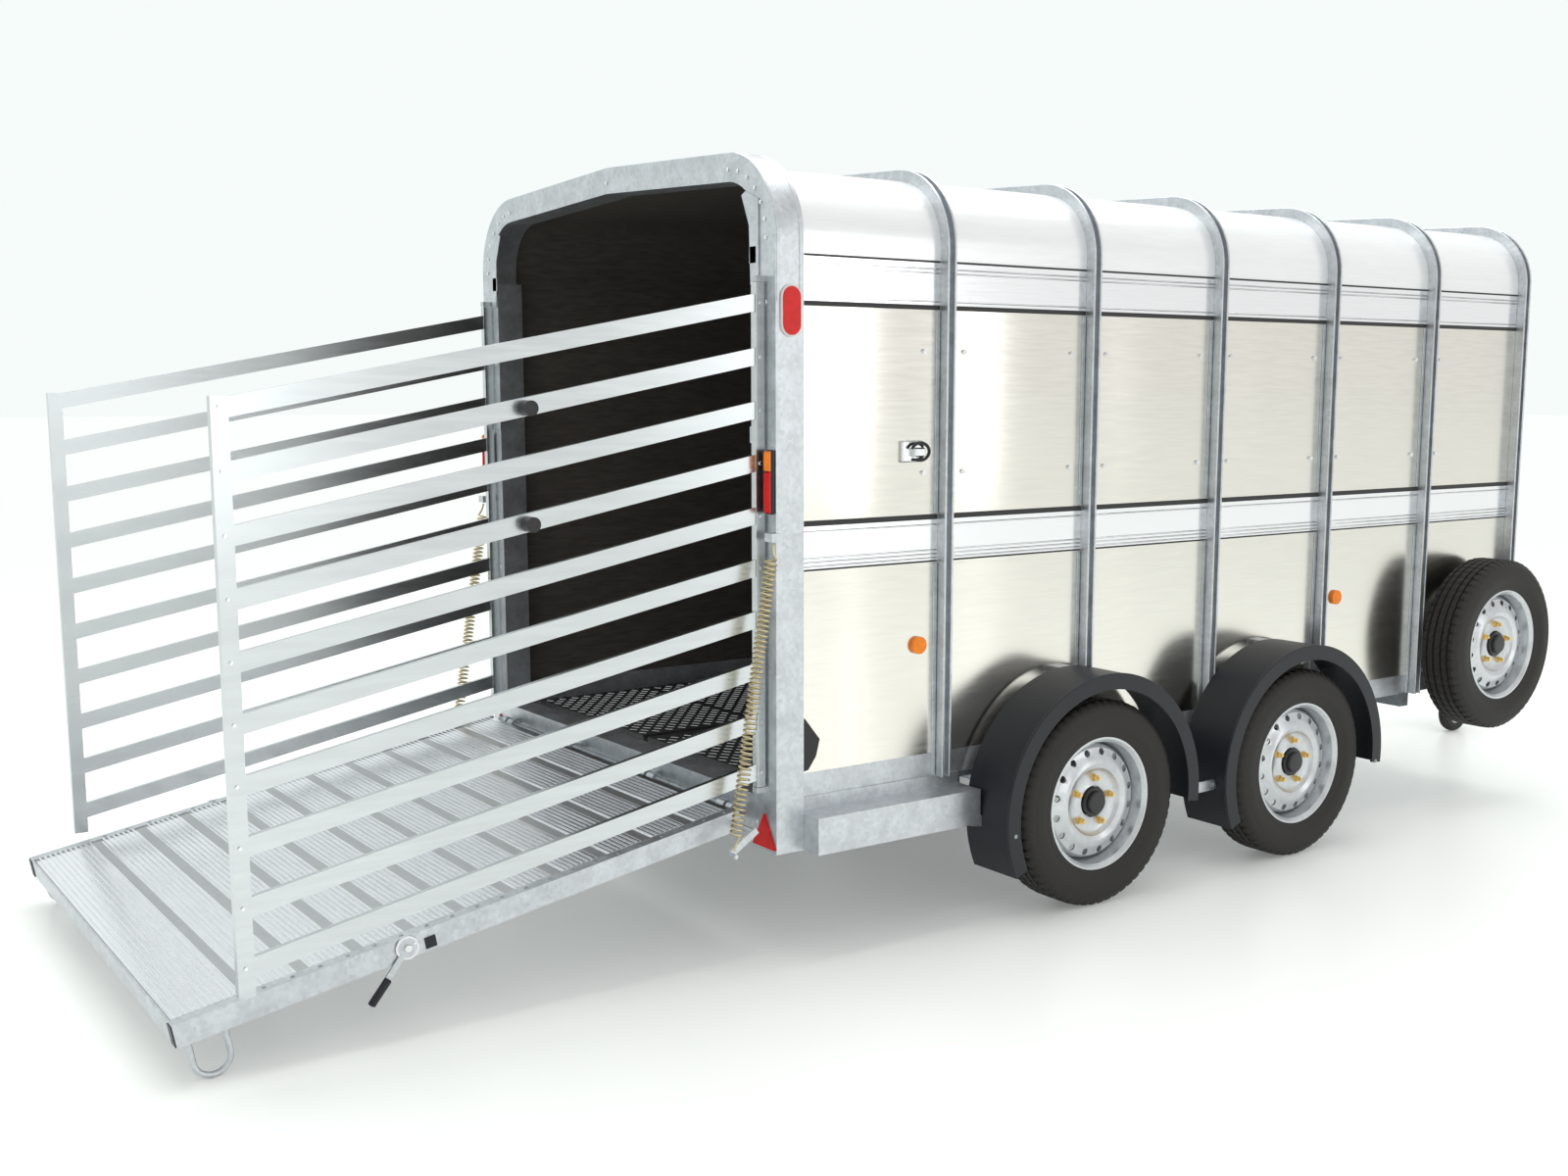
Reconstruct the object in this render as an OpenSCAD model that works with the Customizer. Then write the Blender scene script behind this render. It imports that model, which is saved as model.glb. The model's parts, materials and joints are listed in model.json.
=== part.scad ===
// Twin-axle livestock trailer with a rear loading ramp and two side gates.
// Millimetres. X runs from the ramp to the tow hitch, Z up, ground at Z = 0.

/* [Body] */
// Distance between two body hoops
hoop_pitch = 610; // [560:1:680]
// Number of bays between hoops
bays = 6; // [5:1:7]
// Half of the body width, to the outside of the side sheets
body_half_w = 930; // [900:1:960]
// Height of the straight side walls, where the roof shoulders begin
eaves_z = 2080; // [2060:1:2300]
// Radius of the roof shoulders, on the skin
shoulder_r = 215; // [120:1:300]
// Slope of each roof half in degrees
roof_slope = 2.6; // [1:0.1:6]
// Thickness of the side and roof sheets
skin_t = 3; // [2:0.5:6]
// Height of the loading floor above the ground
floor_z = 480; // [470:1:520]
// Thickness of the floor
floor_t = 15; // [10:1:20]
// Top of the lower side sheets
mid_rail_z = 1139; // [1000:1:1200]
// Height of the band between lower and upper sheets
mid_rail_h = 138; // [80:1:160]
// Bottom of the band under the roof
eaves_rail_z = 1905; // [1800:1:1960]
// Height of the band under the roof
eaves_rail_h = 135; // [60:1:150]
// Depth of the extruded bands, inwards
rail_t = 18; // [10:1:22]
// Height of the galvanised sill rails
sill_h = 75; // [50:1:100]

/* [Hoops and rear frame] */
// How far a hoop stands out from the skin
hoop_d = 35; // [20:1:35]
// Width of a hoop along the trailer
hoop_w = 36; // [24:1:60]
// Length of the rear frame along the trailer
frame_l = 96; // [80:1:120]
// Half of the clear width of the rear doorway
door_half_w = 842; // [800:1:850]
// Lowest point of the rear posts
post_foot_z = 320; // [280:1:340]
// Depth of the arch, inwards from the skin
arch_in = 45; // [30:1:70]

/* [Ramp] */
// Length of the ramp from its hinge
ramp_l = 1665; // [1400:1:1900]
// Half of the ramp width
ramp_half_w = 866; // [852:1:868]
// Slope of the lowered ramp in degrees
ramp_slope = 10.1; // [8:0.1:11]
// Height of the ramp hinge above the ground
hinge_z = 427; // [410:1:440]
// Depth of the ramp frame
ramp_d = 60; // [45:1:70]
// Height of the deck surface above the hinge
ramp_top = 24; // [20:1:28]
// Radius of the hinge rod
hinge_rod_r = 9.95; // [8:0.05:12]
// Radial clearance of the ramp hinge
hinge_fit = 0.05; // [0.02:0.01:0.1]
// Radius of the loop feet, to the middle of the bar
foot_loop_r = 45; // [30:1:60]
// Radius of the bar of the loop feet
foot_bar_r = 8; // [6:0.5:12]

/* [Gates] */
// Length of a gate from its hinge
gate_l = 1468; // [1200:1:1500]
// Number of rails in a gate
gate_rails = 10; // [6:1:10]
// Top of the highest rail at the hinge
gate_top_z = 1926; // [1800:1:1940]
// Distance between rails
rail_pitch = 149; // [120:1:150]
// Height of a rail
gate_rail_h = 48; // [30:1:60]
// Thickness of a gate
gate_t = 24; // [18:1:24]
// Distance of the gate hinges from the middle of the trailer
gate_y = 904; // [903:1:906]
// Slope of the rails in degrees
gate_slope = 10.9; // [8:0.1:11]
// Radius of the gate hinge pins
gate_pin_r = 7.95; // [5:0.05:9]
// Radial clearance of the gate hinges
gate_fit = 0.05; // [0.02:0.01:0.1]

/* [Wheels] */
// Radius of a tyre
tyre_r = 338; // [320:1:350]
// Width of a tyre
tyre_w = 165; // [145:1:168]
// Radius of the rim edge
rim_r = 218; // [190:1:225]
// Clearance between the hoops and the inner wall of a tyre
tyre_clear = 12.5; // [10:0.5:20]
// Distance from the doorway to the rear axle
axle_x = 1121; // [1000:1:1180]
// Distance between the axles
axle_pitch = 995; // [900:1:1100]
// Radius of a wheel spindle
spindle_r = 20; // [16:1:24]
// Radial clearance of the wheel bearings
spindle_fit = 0.05; // [0.02:0.01:0.1]
// Radius of a mudguard, inside
guard_r = 420; // [400:1:440]
// Thickness of a mudguard
guard_t = 8; // [4:1:12]
// How far a mudguard reaches past the outer wall of a tyre
guard_over = 22.5; // [15:0.5:40]

/* [Drawbar] */
// Length from the body to the tip of the coupling
drawbar_l = 1290; // [1100:1:1500]
// Depth of the chassis beams
beam_h = 80; // [60:1:80]
// Radius of the socket for the tow ball
ball_r = 25.2; // [25:0.1:26]
// Radius of the jockey wheel
jockey_r = 100; // [80:1:120]
// Distance of the jockey wheel behind the coupling tip
jockey_back = 420; // [350:1:500]

/* [Hidden] */
$fn = 64;
near = -1;
far = 1;
gap = 0.3;
over = 1;
body_l = hoop_pitch * bays;
rear_x = -30;
skin_x = rear_x + frame_l + gap;
rail_end_x = body_l - 20;
chassis_top = floor_z - floor_t;
chassis_z = chassis_top - beam_h;
sill_in = body_half_w - 25;
hoop_out = body_half_w + hoop_d;
track_y = hoop_out + tyre_clear + tyre_w / 2;
guard_y = track_y + tyre_w / 2 + guard_over;
axle_end_y = track_y - 180;
hinge_x = rear_x - ramp_top - 8;
ramp_tip_x = hinge_x - ramp_l * cos(ramp_slope) - ramp_top * sin(ramp_slope);
front_x = body_l + drawbar_l;
mid_x = (front_x + ramp_tip_x) / 2;
hub_z = tyre_r;
wheel_xs = [axle_x, axle_x + axle_pitch];
beam_y = 490;
beam_w = 60;
hitch_l = 240;
beam_taper = (beam_y - 60) / (drawbar_l - hitch_l);
spring_y = body_half_w + 45;
spring_r = 12;
spring_top_z = 1232;
spring_top_x = rear_x - 16;
lug_r = 147;
lug_angle = 33;
lug_x = hinge_x - lug_r * cos(lug_angle);
lug_z = hinge_z - lug_r * sin(lug_angle);
lug_arm_y = spring_y - spring_r - 8;
gate_x = rear_x - 20;
gate_post_l = 28;
gate_tip_x = gate_x - gate_l;
gate_foot_gap = 17;
lever_x = 1072;
lever_l = 167;
lever_y = ramp_half_w + 2;
jockey_x = front_x - jockey_back;
jockey_y = -(beam_y - (drawbar_l - jockey_back) * beam_taper + 36.3);
spare_x = 3355;
spare_z = 655;
galvanised = [0.72, 0.74, 0.76];
aluminium = [0.82, 0.83, 0.85];

// Everything is built from the doorway forwards, then centred on its length.
module place() { translate([-mid_x, 0, 0]) children(); }

// A bar along X, Y or Z with a given start corner and size.
module bar(from, to) { translate(from) cube(to - from); }

// A rod along Y between two Y positions.
module rod_y(x, z, y0, y1, r) {
    translate([x, min(y0, y1), z]) rotate([-90, 0, 0]) cylinder(r = r, h = abs(y1 - y0));
}

// One of two mirrored sides.
module side(s) { if (s == near) mirror([0, 1, 0]) children(); else children(); }

// Outline of the body, offset outwards by d, from bottom height z0 to the ridge.
module body_outline(d, z0) {
    r = shoulder_r + d;
    w = body_half_w + d;
    cy = body_half_w - shoulder_r;
    ty = cy + r * sin(roof_slope);
    tz = eaves_z + r * cos(roof_slope);
    ridge = tz + ty * tan(roof_slope);
    union() {
        polygon([[-w, z0], [w, z0], [w, eaves_z], [cy, eaves_z], [ty, tz], [0, ridge],
                 [-ty, tz], [-cy, eaves_z], [-w, eaves_z]]);
        translate([cy, eaves_z]) circle(r = r);
        translate([-cy, eaves_z]) circle(r = r);
    }
}

// A slice of the body outline along X.
module slice(x0, x1, d, z0) {
    translate([x0, 0, 0]) rotate([90, 0, 90]) linear_extrude(x1 - x0) body_outline(d, z0);
}

module chassis_frame() {
    place() color("gray") {
        for (s = [near, far]) side(s)
            bar([skin_x, beam_y - beam_w / 2, chassis_z], [body_l, beam_y + beam_w / 2, chassis_top]);
        for (k = [0 : bays]) {
            x = k == 0 ? skin_x : min(k * hoop_pitch - 25, body_l - 50);
            bar([x, -sill_in, chassis_top - 60], [x + 50, sill_in, chassis_top]);
        }
        for (s = [near, far]) side(s) for (x = wheel_xs) for (e = [-1, 1])
            translate([x + e * spring_half - 20, hanger_y - 35, hanger_z]) cube([40, 70, chassis_top - 60 - hanger_z]);
        for (s = [near, far]) side(s) for (x = wheel_xs)
            bar([x - spring_half - 60, hanger_y - 35, chassis_top - 60],
                [x + spring_half + 60, hanger_y + 35, chassis_top]);
    }
}
spring_half = 330;
spring_arc_r = 900;
leaf_t = 24;
axle_s = 70;
hanger_y = 760;
leaf_mid_z = hub_z - axle_s / 2 - gap - spring_arc_r + sqrt(spring_arc_r * spring_arc_r - axle_s * axle_s / 4);
leaf_rise = spring_arc_r - sqrt(spring_arc_r * spring_arc_r - spring_half * spring_half);
hanger_z = leaf_mid_z + leaf_rise + 4;

// One slanting beam of the drawbar, grown on every face by d.
module drawbar_beam(d) {
    a = atan(beam_taper);
    translate([body_l + gap, beam_y, chassis_z]) rotate([0, 0, -a])
        translate([-d, -beam_w - d, -d])
            cube([(drawbar_l - hitch_l) / cos(a) + 60 + 2 * d, beam_w + 2 * d, beam_h + 2 * d]);
}

module drawbar() {
    place() color("gray") {
        reach = drawbar_l - hitch_l;
        difference() {
            union() for (s = [near, far]) side(s) drawbar_beam(0);
            bar([body_l - 200, -900, chassis_z - over], [body_l + gap, 900, chassis_top + over]);
            bar([body_l + reach, -900, chassis_z - over], [front_x + 200, 900, chassis_top + over]);
        }
        bar([body_l + reach - 180, -70, chassis_z], [body_l + reach, 70, chassis_top]);
        bar([body_l + gap, -beam_y, chassis_z], [body_l + 50, beam_y, chassis_top]);
    }
}

module coupling_head() {
    place() color("dimgray") {
        x0 = body_l + drawbar_l - hitch_l + gap;
        cx = front_x - 45;
        difference() {
            union() {
                bar([x0, -35, chassis_top - 55], [cx, 35, chassis_top]);
                translate([cx, 0, chassis_top - 70]) cylinder(r = 45, h = 75);
                bar([x0 + 20, -12, chassis_top], [cx - 30, 12, chassis_top + 25]);
            }
            translate([cx, 0, chassis_top - 70 - over]) cylinder(r = ball_r, h = 45 + over);
        }
        translate([x0 + 30, -9, chassis_top + 26]) rotate([0, -14, 0]) cube([130, 18, 12]);
    }
}

module floor_deck() {
    place() color("silver")
        bar([skin_x, -sill_in + gap, chassis_top + gap], [rail_end_x, sill_in - gap, floor_z]);
}

module floor_mats() {
    place() color("dimgray") for (s = [near, far]) side(s)
        bar([skin_x + 20, 15, floor_z + gap], [skin_x + 1400, 800, floor_z + 10]);
}

module front_wall() {
    place() color("silver") slice(rail_end_x + gap, body_l - 3, -skin_t - gap, chassis_top + gap);
}

module roof_skin() {
    roof_z = eaves_rail_z + eaves_rail_h + gap;
    place() color("whitesmoke") difference() {
        slice(skin_x, body_l, 0, chassis_top);
        slice(skin_x - over, body_l + over, -skin_t, chassis_top - over);
        bar([skin_x - over, -body_half_w - over, chassis_top - over], [body_l + over, body_half_w + over, roof_z]);
    }
}

module side_sheet(s, z0, z1) {
    side(s) bar([skin_x, body_half_w - skin_t, z0], [body_l, body_half_w, z1]);
}

module lower_panels(s) {
    place() color(aluminium) side_sheet(s, chassis_top + sill_h + gap, mid_rail_z - gap);
}

module upper_panels(s) {
    place() color(aluminium) side_sheet(s, mid_rail_z + mid_rail_h + gap, eaves_rail_z - gap);
}

module long_rails(z0, h, t) {
    for (s = [near, far]) side(s) bar([skin_x, body_half_w - t, z0], [rail_end_x, body_half_w, z0 + h]);
}

module mid_rails() { place() color(aluminium) long_rails(mid_rail_z, mid_rail_h, rail_t); }

module eaves_rails() { place() color(aluminium) long_rails(eaves_rail_z, eaves_rail_h, rail_t); }

module sill_rails() { place() color(galvanised) long_rails(chassis_top + gap, sill_h - gap, 25); }

module hoop(k) {
    x = k * body_l / 6;
    place() color(galvanised) difference() {
        slice(x - hoop_w / 2, x + hoop_w / 2, hoop_d, chassis_top);
        slice(x - hoop_w, x + hoop_w, gap, chassis_top - over);
    }
}

module rear_frame() {
    place() color(galvanised) {
        x1 = rear_x + frame_l;
        difference() {
            slice(rear_x, x1, hoop_d, post_foot_z);
            slice(rear_x - over, x1 + over, -arch_in, post_foot_z - over);
        }
        for (s = [near, far]) side(s) {
            bar([rear_x, door_half_w, post_foot_z], [x1, body_half_w - arch_in + over, eaves_z - 40]);
            // hook plate for the lift spring
            bar([rear_x - 30, body_half_w + 22, spring_top_z + 4], [rear_x + over, spring_y + 15, spring_top_z + 28]);
            // carriers of the gate hinge pins
            for (z = [gate_top_z + 34, gate_bottom_z - 2 - 16]) {
                bar([gate_x - 15, gate_y - 12, z], [rear_x + over, gate_y + 12, z + 16]);
            }
            translate([gate_x, gate_y, gate_top_z + 34 - 30]) cylinder(r = gate_pin_r, h = 30 + over);
            translate([gate_x, gate_y, gate_bottom_z - 3]) cylinder(r = gate_pin_r, h = 31);
        }
        // sill under the doorway
        bar([rear_x, -door_half_w - over, chassis_z], [x1, door_half_w + over, floor_z]);
        // ramp hinge lugs
        for (y = hinge_lug_ys) difference() {
            union() {
                bar([hinge_x, y - 15, hinge_z - 10], [rear_x + over, y + 15, hinge_z + 10]);
                rod_y(hinge_x, hinge_z, y - 15, y + 15, 18);
            }
            rod_y(hinge_x, hinge_z, y - 20, y + 20, hinge_rod_r + hinge_fit);
        }
    }
}
gate_bottom_z = gate_top_z - (gate_rails - 1) * rail_pitch - gate_rail_h - 20;
hinge_lug_ys = [-780, -260, 260, 780];

module side_step(s) {
    place() color(galvanised) side(s) {
        x1 = axle_x - guard_r - guard_t - 8;
        difference() {
            bar([skin_x, body_half_w + gap, post_foot_z], [x1, body_half_w + 110, chassis_z + 45]);
            bar([skin_x + 3, body_half_w - over, post_foot_z - over], [x1 - 3, body_half_w + 107, chassis_z + 42]);
        }
    }
}

// A mudguard: an arc of sheet with an inner lip along its outer edge.
module guard_arc(x) {
    y0 = hoop_out + 1;
    r1 = guard_r + guard_t;
    translate([x, guard_y, hub_z]) rotate([90, 0, 0]) {
        linear_extrude(guard_y - y0) arc_band(guard_r, r1);
        linear_extrude(guard_t) arc_band(guard_r - 42, r1);
    }
}

// The part of a ring that a mudguard covers.
module arc_band(r0, r1) {
    difference() {
        circle(r = r1);
        circle(r = r0);
        polygon([[0, 0], [2 * r1 * cos(guard_front), 2 * r1 * sin(guard_front)], [2 * r1, -2 * r1],
                 [-2 * r1, -2 * r1], [2 * r1 * cos(guard_rear), 2 * r1 * sin(guard_rear)]]);
    }
}
guard_front = -6;
guard_rear = 204;

module mudguards(s) {
    place() color([0.1, 0.1, 0.11]) side(s) for (x = wheel_xs) guard_arc(x);
}

module mudguard_stays() {
    place() color(galvanised) for (s = [near, far]) side(s) for (x = wheel_xs)
        bar([x - 30, body_half_w + gap, hub_z + guard_r - 20], [x + 30, hoop_out + 1 - gap, hub_z + guard_r + 5]);
}

module axles() {
    place() color("gray") for (x = wheel_xs) {
        bar([x - axle_s / 2, -axle_end_y, hub_z - axle_s / 2], [x + axle_s / 2, axle_end_y, hub_z + axle_s / 2]);
        rod_y(x, hub_z, -axle_end_y, -track_y - 40, spindle_r);
        rod_y(x, hub_z, axle_end_y, track_y + 40, spindle_r);
    }
}

module leaf_springs() {
    place() color("dimgray") for (s = [near, far]) side(s) for (x = wheel_xs)
        translate([x, hanger_y + 25, leaf_mid_z + spring_arc_r]) rotate([90, 0, 0]) linear_extrude(50)
            intersection() {
                difference() {
                    circle(r = spring_arc_r + leaf_t, $fn = 360);
                    circle(r = spring_arc_r, $fn = 360);
                }
                translate([-spring_half, -spring_arc_r * 2]) square([2 * spring_half, spring_arc_r * 2]);
            }
}

bead_in = 14 + gap;

// Half section of a tyre, turned about the wheel axis.
module tyre_shape() {
    h = tyre_w / 2;
    c = 22;
    rotate_extrude() difference() {
        union() {
            translate([rim_r - 12, -h + bead_in]) square([tyre_r - rim_r + 12 - c, 2 * (h - bead_in)]);
            translate([rim_r + 30, -h]) square([tyre_r - rim_r - 30 - c, 2 * h]);
            translate([rim_r + 30, -h + c]) square([tyre_r - rim_r - 30, 2 * (h - c)]);
            for (y = [-h + c, h - c]) translate([tyre_r - c, y]) circle(r = c);
        }
        translate([0, -h - over]) square([rim_r - 12, 2 * h + 2 * over]);
    }
}

// A steel disc wheel with its hub, bored for the spindle.
module wheel_shape(bored) {
    h = tyre_w / 2;
    difference() {
        rotate_extrude() {
            translate([rim_r - 18, -h + 14]) square([5.7, 2 * h - 28]);
            translate([rim_r - 18, h - 14]) square([18, 5]);
            translate([rim_r - 18, -h + 9]) square([18, 5]);
            translate([100, 8]) square([rim_r - 116, 6]);
            translate([62, 22]) square([44, 6]);
            translate([100, 8]) square([6, 20]);
            translate([0, -30]) square([66, 52]);
            translate([0, 22]) square([36, 36]);
        }
        if (bored) translate([0, 0, -40]) cylinder(r = spindle_r + spindle_fit, h = 40 + 41);
        translate([0, 0, -over - 40]) cylinder(r = bored ? spindle_r + spindle_fit : 24, h = 12);
    }
    for (k = [0 : 4]) rotate([0, 0, 72 * k]) translate([84, 0, 28]) cylinder(r = 11, h = 14);
}

module wheel_at(x, s) {
    place() side(s) translate([x, track_y, hub_z]) rotate([-90, 0, 0]) children();
}

module tyre(x, s) { color([0.09, 0.09, 0.1]) wheel_at(x, s) tyre_shape(); }

module wheel(x, s) { color("silver") wheel_at(x, s) wheel_shape(true); }

module spare_at() {
    place() side(near) translate([spare_x, spare_y, spare_z]) rotate([-90, 0, 0]) children();
}
spare_y = hoop_out + tyre_w / 2 + 12;

module spare_tyre() { color([0.09, 0.09, 0.1]) spare_at() tyre_shape(); }

module spare_rim() { color("silver") spare_at() wheel_shape(false); }

module spare_carrier() {
    place() color(galvanised) side(near) {
        bar([spare_x - 60, body_half_w + gap, spare_z - 60], [spare_x + 60, body_half_w + 8, spare_z + 60]);
        rod_y(spare_x, spare_z, body_half_w + 4, spare_y - 30 - gap, 22);
    }
}

module tail_lamps() {
    place() color("red") for (s = [near, far]) side(s)
        bar([rear_x - 30, body_half_w + 3, 1312], [rear_x - gap, hoop_out - 1, 1493]);
}

module red_reflectors() {
    place() color("red") for (s = [near, far]) side(s) {
        translate([rear_x - 6, gate_y, post_foot_z + 12]) rotate([90, 0, 90])
            linear_extrude(6 - gap) polygon([[-58, 0], [58, 0], [0, 100]]);
        translate([20, hoop_out + 10 + gap, 1880]) rotate([90, 0, 0]) linear_extrude(10) {
            for (z = [-38, 38]) translate([0, z]) circle(r = 29);
            translate([-29, -38]) square([58, 76]);
        }
    }
}

module amber_markers() {
    place() color("orange") for (s = [near, far]) side(s) for (x = [517, 2543])
        rod_y(x, 885, body_half_w + gap, body_half_w + 12, 27);
}

module panel_bolts() {
    place() color("silver") for (s = [near, far]) side(s)
        for (k = [1 : 5]) for (e = [-78, 78]) for (z = [1412, 1775])
            rod_y(k * body_l / 6 + e, z, body_half_w + gap, body_half_w + 7, 8);
}

// Puts a ramp piece, drawn level from the hinge backwards, at its lowered slope.
module on_ramp() { place() translate([hinge_x, 0, hinge_z]) rotate([0, -ramp_slope, 0]) children(); }

module ramp_hinge_rod() {
    place() color("dimgray") rod_y(hinge_x, hinge_z, -840, 840, hinge_rod_r);
}

module ramp_frame() {
    b = ramp_top - ramp_d;
    side_w = 40;
    foot_x = -(ramp_l - 75);
    foot_z = (foot_loop_r + foot_bar_r - hinge_z - foot_x * sin(ramp_slope)) / cos(ramp_slope);
    on_ramp() color(galvanised) {
        for (s = [near, far]) side(s) {
            bar([-ramp_l, ramp_half_w - side_w, b], [-30, ramp_half_w, ramp_top]);
            // loop foot
            translate([foot_x, ramp_half_w - side_w / 2, foot_z]) {
                rotate([-90, 0, 0]) rotate_extrude(angle = 180) translate([foot_loop_r, 0]) circle(r = foot_bar_r);
                for (e = [-1, 1]) translate([e * foot_loop_r, 0, 0]) cylinder(r = foot_bar_r, h = b - foot_z + over);
            }
            // lever pin
            rod_y(-lever_x, -4, ramp_half_w - over, lever_y + 6, lever_pin_r);
        }
        for (x = [-ramp_l, -ramp_l * 0.75, -ramp_l / 2, -ramp_l / 4])
            bar([x, -ramp_half_w + over, b], [x + 40, ramp_half_w - over, ramp_deck_z - gap]);
        bar([-70, -ramp_half_w + over, b], [-30, ramp_half_w - over, ramp_deck_z - gap]);
        bar([-ramp_l, -ramp_half_w + over, b], [-ramp_l + 6, ramp_half_w - over, ramp_top]);
        for (y = ramp_knuckle_ys) difference() {
            union() {
                bar([-31, y - 20, -12], [0, y + 20, 8]);
                rod_y(0, 0, y - 20, y + 20, 18);
            }
            rod_y(0, 0, y - 30, y + 30, hinge_rod_r + hinge_fit);
        }
        // arms that the lift springs pull on
        for (s = [near, far]) side(s) rotate([0, ramp_slope - lug_angle, 0]) {
            rod_y(-50, 0, ramp_half_w - 10, lug_arm_y + over, 10);
            bar([-lug_r, lug_arm_y, -10], [-40, lug_arm_y + 8, 10]);
            rod_y(-lug_r, 0, lug_arm_y, spring_y + 15, 7);
        }
    }
}
lever_pin_r = 6;
ramp_deck_z = 8;
ramp_knuckle_ys = [-730, -310, 310, 730];

module ramp_deck() {
    on_ramp() color(aluminium) {
        bar([-ramp_l + 6 + gap, -ramp_half_w + 40 + gap, ramp_deck_z], [-30, ramp_half_w - 40 - gap, ramp_deck_z + 12]);
        for (k = [1 : 9]) bar([-k * ramp_l / 10 - 12, -ramp_half_w + 60, ramp_deck_z + 11],
                              [-k * ramp_l / 10 + 12, ramp_half_w - 60, ramp_top + 2]);
    }
}

module ramp_lever(s) {
    on_ramp() color("silver") side(s) translate([-lever_x, lever_y, -4]) rotate([0, ramp_slope, 0])
        rotate([0, -lever_angle, 0]) difference() {
            union() {
                rod_y(0, 0, 0, 6, 26);
                bar([-lever_l + 60, 0, -8], [0, 6, 8]);
                translate([-lever_l, 10, 0]) rotate([0, 90, 0]) cylinder(r = 9, h = 75);
            }
            rod_y(0, 0, -over, 7, lever_pin_r + 0.05);
        }
}
lever_angle = 52;

module gate_posts(s) {
    foot = tip_ramp_z + gate_foot_gap;
    tip_top = gate_top_z - gate_l * tan(gate_slope);
    place() color(aluminium) side(s) {
        difference() {
            bar([gate_x - gate_post_l / 2, gate_y - gate_t / 2, gate_bottom_z],
                [gate_x + gate_post_l / 2, gate_y + gate_t / 2, gate_top_z + 32]);
            for (z = [gate_bottom_z - over, gate_top_z - 2])
                translate([gate_x, gate_y, z]) cylinder(r = gate_pin_r + gate_fit, h = 35);
        }
        bar([gate_tip_x - 41, gate_y - gate_t / 2, foot], [gate_tip_x, gate_y + gate_t / 2, tip_top + 4]);
    }
}
tip_ramp_z = hinge_z + ramp_top - (hinge_x - gate_tip_x) * tan(ramp_slope);

module gate_rails(s) {
    x0 = gate_x - gate_post_l / 2 - gap;
    x1 = gate_tip_x + gap;
    drop = (x0 - x1) * tan(gate_slope);
    place() color(aluminium) side(s) for (k = [0 : gate_rails - 1]) {
        z = gate_top_z - k * rail_pitch;
        translate([0, gate_y + 9, 0]) rotate([90, 0, 0]) linear_extrude(18)
            polygon([[x0, z], [x0, z - gate_rail_h], [x1, z - gate_rail_h - drop], [x1, z - drop]]);
    }
}

module gate_buffers(s) {
    place() color([0.08, 0.08, 0.08]) side(s) for (k = [1, 3]) {
        x = gate_x - gate_l / 2 + 14;
        z = gate_top_z - k * rail_pitch - gate_rail_h / 2 - (gate_x - x) * tan(gate_slope);
        rod_y(x, z, gate_y + 9 + gap, gate_y + 44, 20);
    }
}

module ramp_spring(s) {
    dx = spring_top_x - lug_x;
    dz = spring_top_z - lug_z;
    start = 12;
    place() color("tan") side(s) translate([lug_x, spring_y, lug_z]) rotate([0, atan2(dx, dz), 0])
        translate([0, 0, start]) cylinder(r = spring_r, h = sqrt(dx * dx + dz * dz) - start - 2);
}

module jockey_clamp() {
    place() color("silver") {
        difference() {
            translate([jockey_x, jockey_y, chassis_z - 20]) cylinder(r = 30, h = 330);
            translate([jockey_x, jockey_y, chassis_z - 21]) cylinder(r = 24.05, h = 310);
        }
        difference() {
            bar([jockey_x - 15, jockey_y + 25, chassis_z + 20], [jockey_x + 35, jockey_y + 50, chassis_top - 5]);
            side(near) drawbar_beam(gap);
        }
    }
}

module jockey_stem() {
    fork_z = 2 * jockey_r + 8;
    place() color("silver") {
        translate([jockey_x, jockey_y, fork_z]) cylinder(r = 24, h = 330);
        bar([jockey_x - 25, jockey_y - 34, fork_z], [jockey_x + 25, jockey_y + 34, fork_z + 8]);
        for (y = [-34, 28]) bar([jockey_x - 20, jockey_y + y, jockey_r - 20], [jockey_x + 20, jockey_y + y + 6, fork_z + over]);
        rod_y(jockey_x, jockey_r, jockey_y - 30, jockey_y + 30, 8);
    }
}

module jockey_wheel() {
    place() color([0.1, 0.1, 0.1]) translate([jockey_x, jockey_y - 25, jockey_r]) rotate([-90, 0, 0]) difference() {
        cylinder(r = jockey_r, h = 50);
        translate([0, 0, -over]) cylinder(r = 8.05, h = 50 + 2 * over);
    }
}

module handbrake_lever() {
    place() color("black") translate([body_l + drawbar_l - 520, -10, chassis_top + 30]) rotate([0, -8, 0]) {
        rod_y(0, 0, -14, 14, 18);
        bar([0, -6, -10], [230, 6, 10]);
        translate([228, 0, 0]) rotate([0, 90, 0]) cylinder(r = 14, h = 110);
    }
}

chassis_frame();
drawbar();
coupling_head();
floor_deck();
floor_mats();
front_wall();
roof_skin();
lower_panels(near);  // lower_panels_near
lower_panels(far);  // lower_panels_far
upper_panels(near);  // upper_panels_near
upper_panels(far);  // upper_panels_far
mid_rails();
eaves_rails();
sill_rails();
hoop(1);  // hoop_1
hoop(2);  // hoop_2
hoop(3);  // hoop_3
hoop(4);  // hoop_4
hoop(5);  // hoop_5
hoop(6);  // hoop_6
rear_frame();
side_step(near);  // side_step_near
side_step(far);  // side_step_far
mudguards(near);  // mudguards_near
mudguards(far);  // mudguards_far
mudguard_stays();
axles();
leaf_springs();
spare_carrier();
spare_tyre();
spare_rim();
tail_lamps();
red_reflectors();
amber_markers();
panel_bolts();
ramp_hinge_rod();
ramp_frame();
ramp_deck();
ramp_lever(near);  // ramp_lever_near
ramp_lever(far);  // ramp_lever_far
gate_posts(near);  // gate_posts_near
gate_rails(near);  // gate_rails_near
gate_buffers(near);  // gate_buffers_near
gate_posts(far);  // gate_posts_far
gate_rails(far);  // gate_rails_far
gate_buffers(far);  // gate_buffers_far
ramp_spring(near);  // ramp_spring_near
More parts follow.
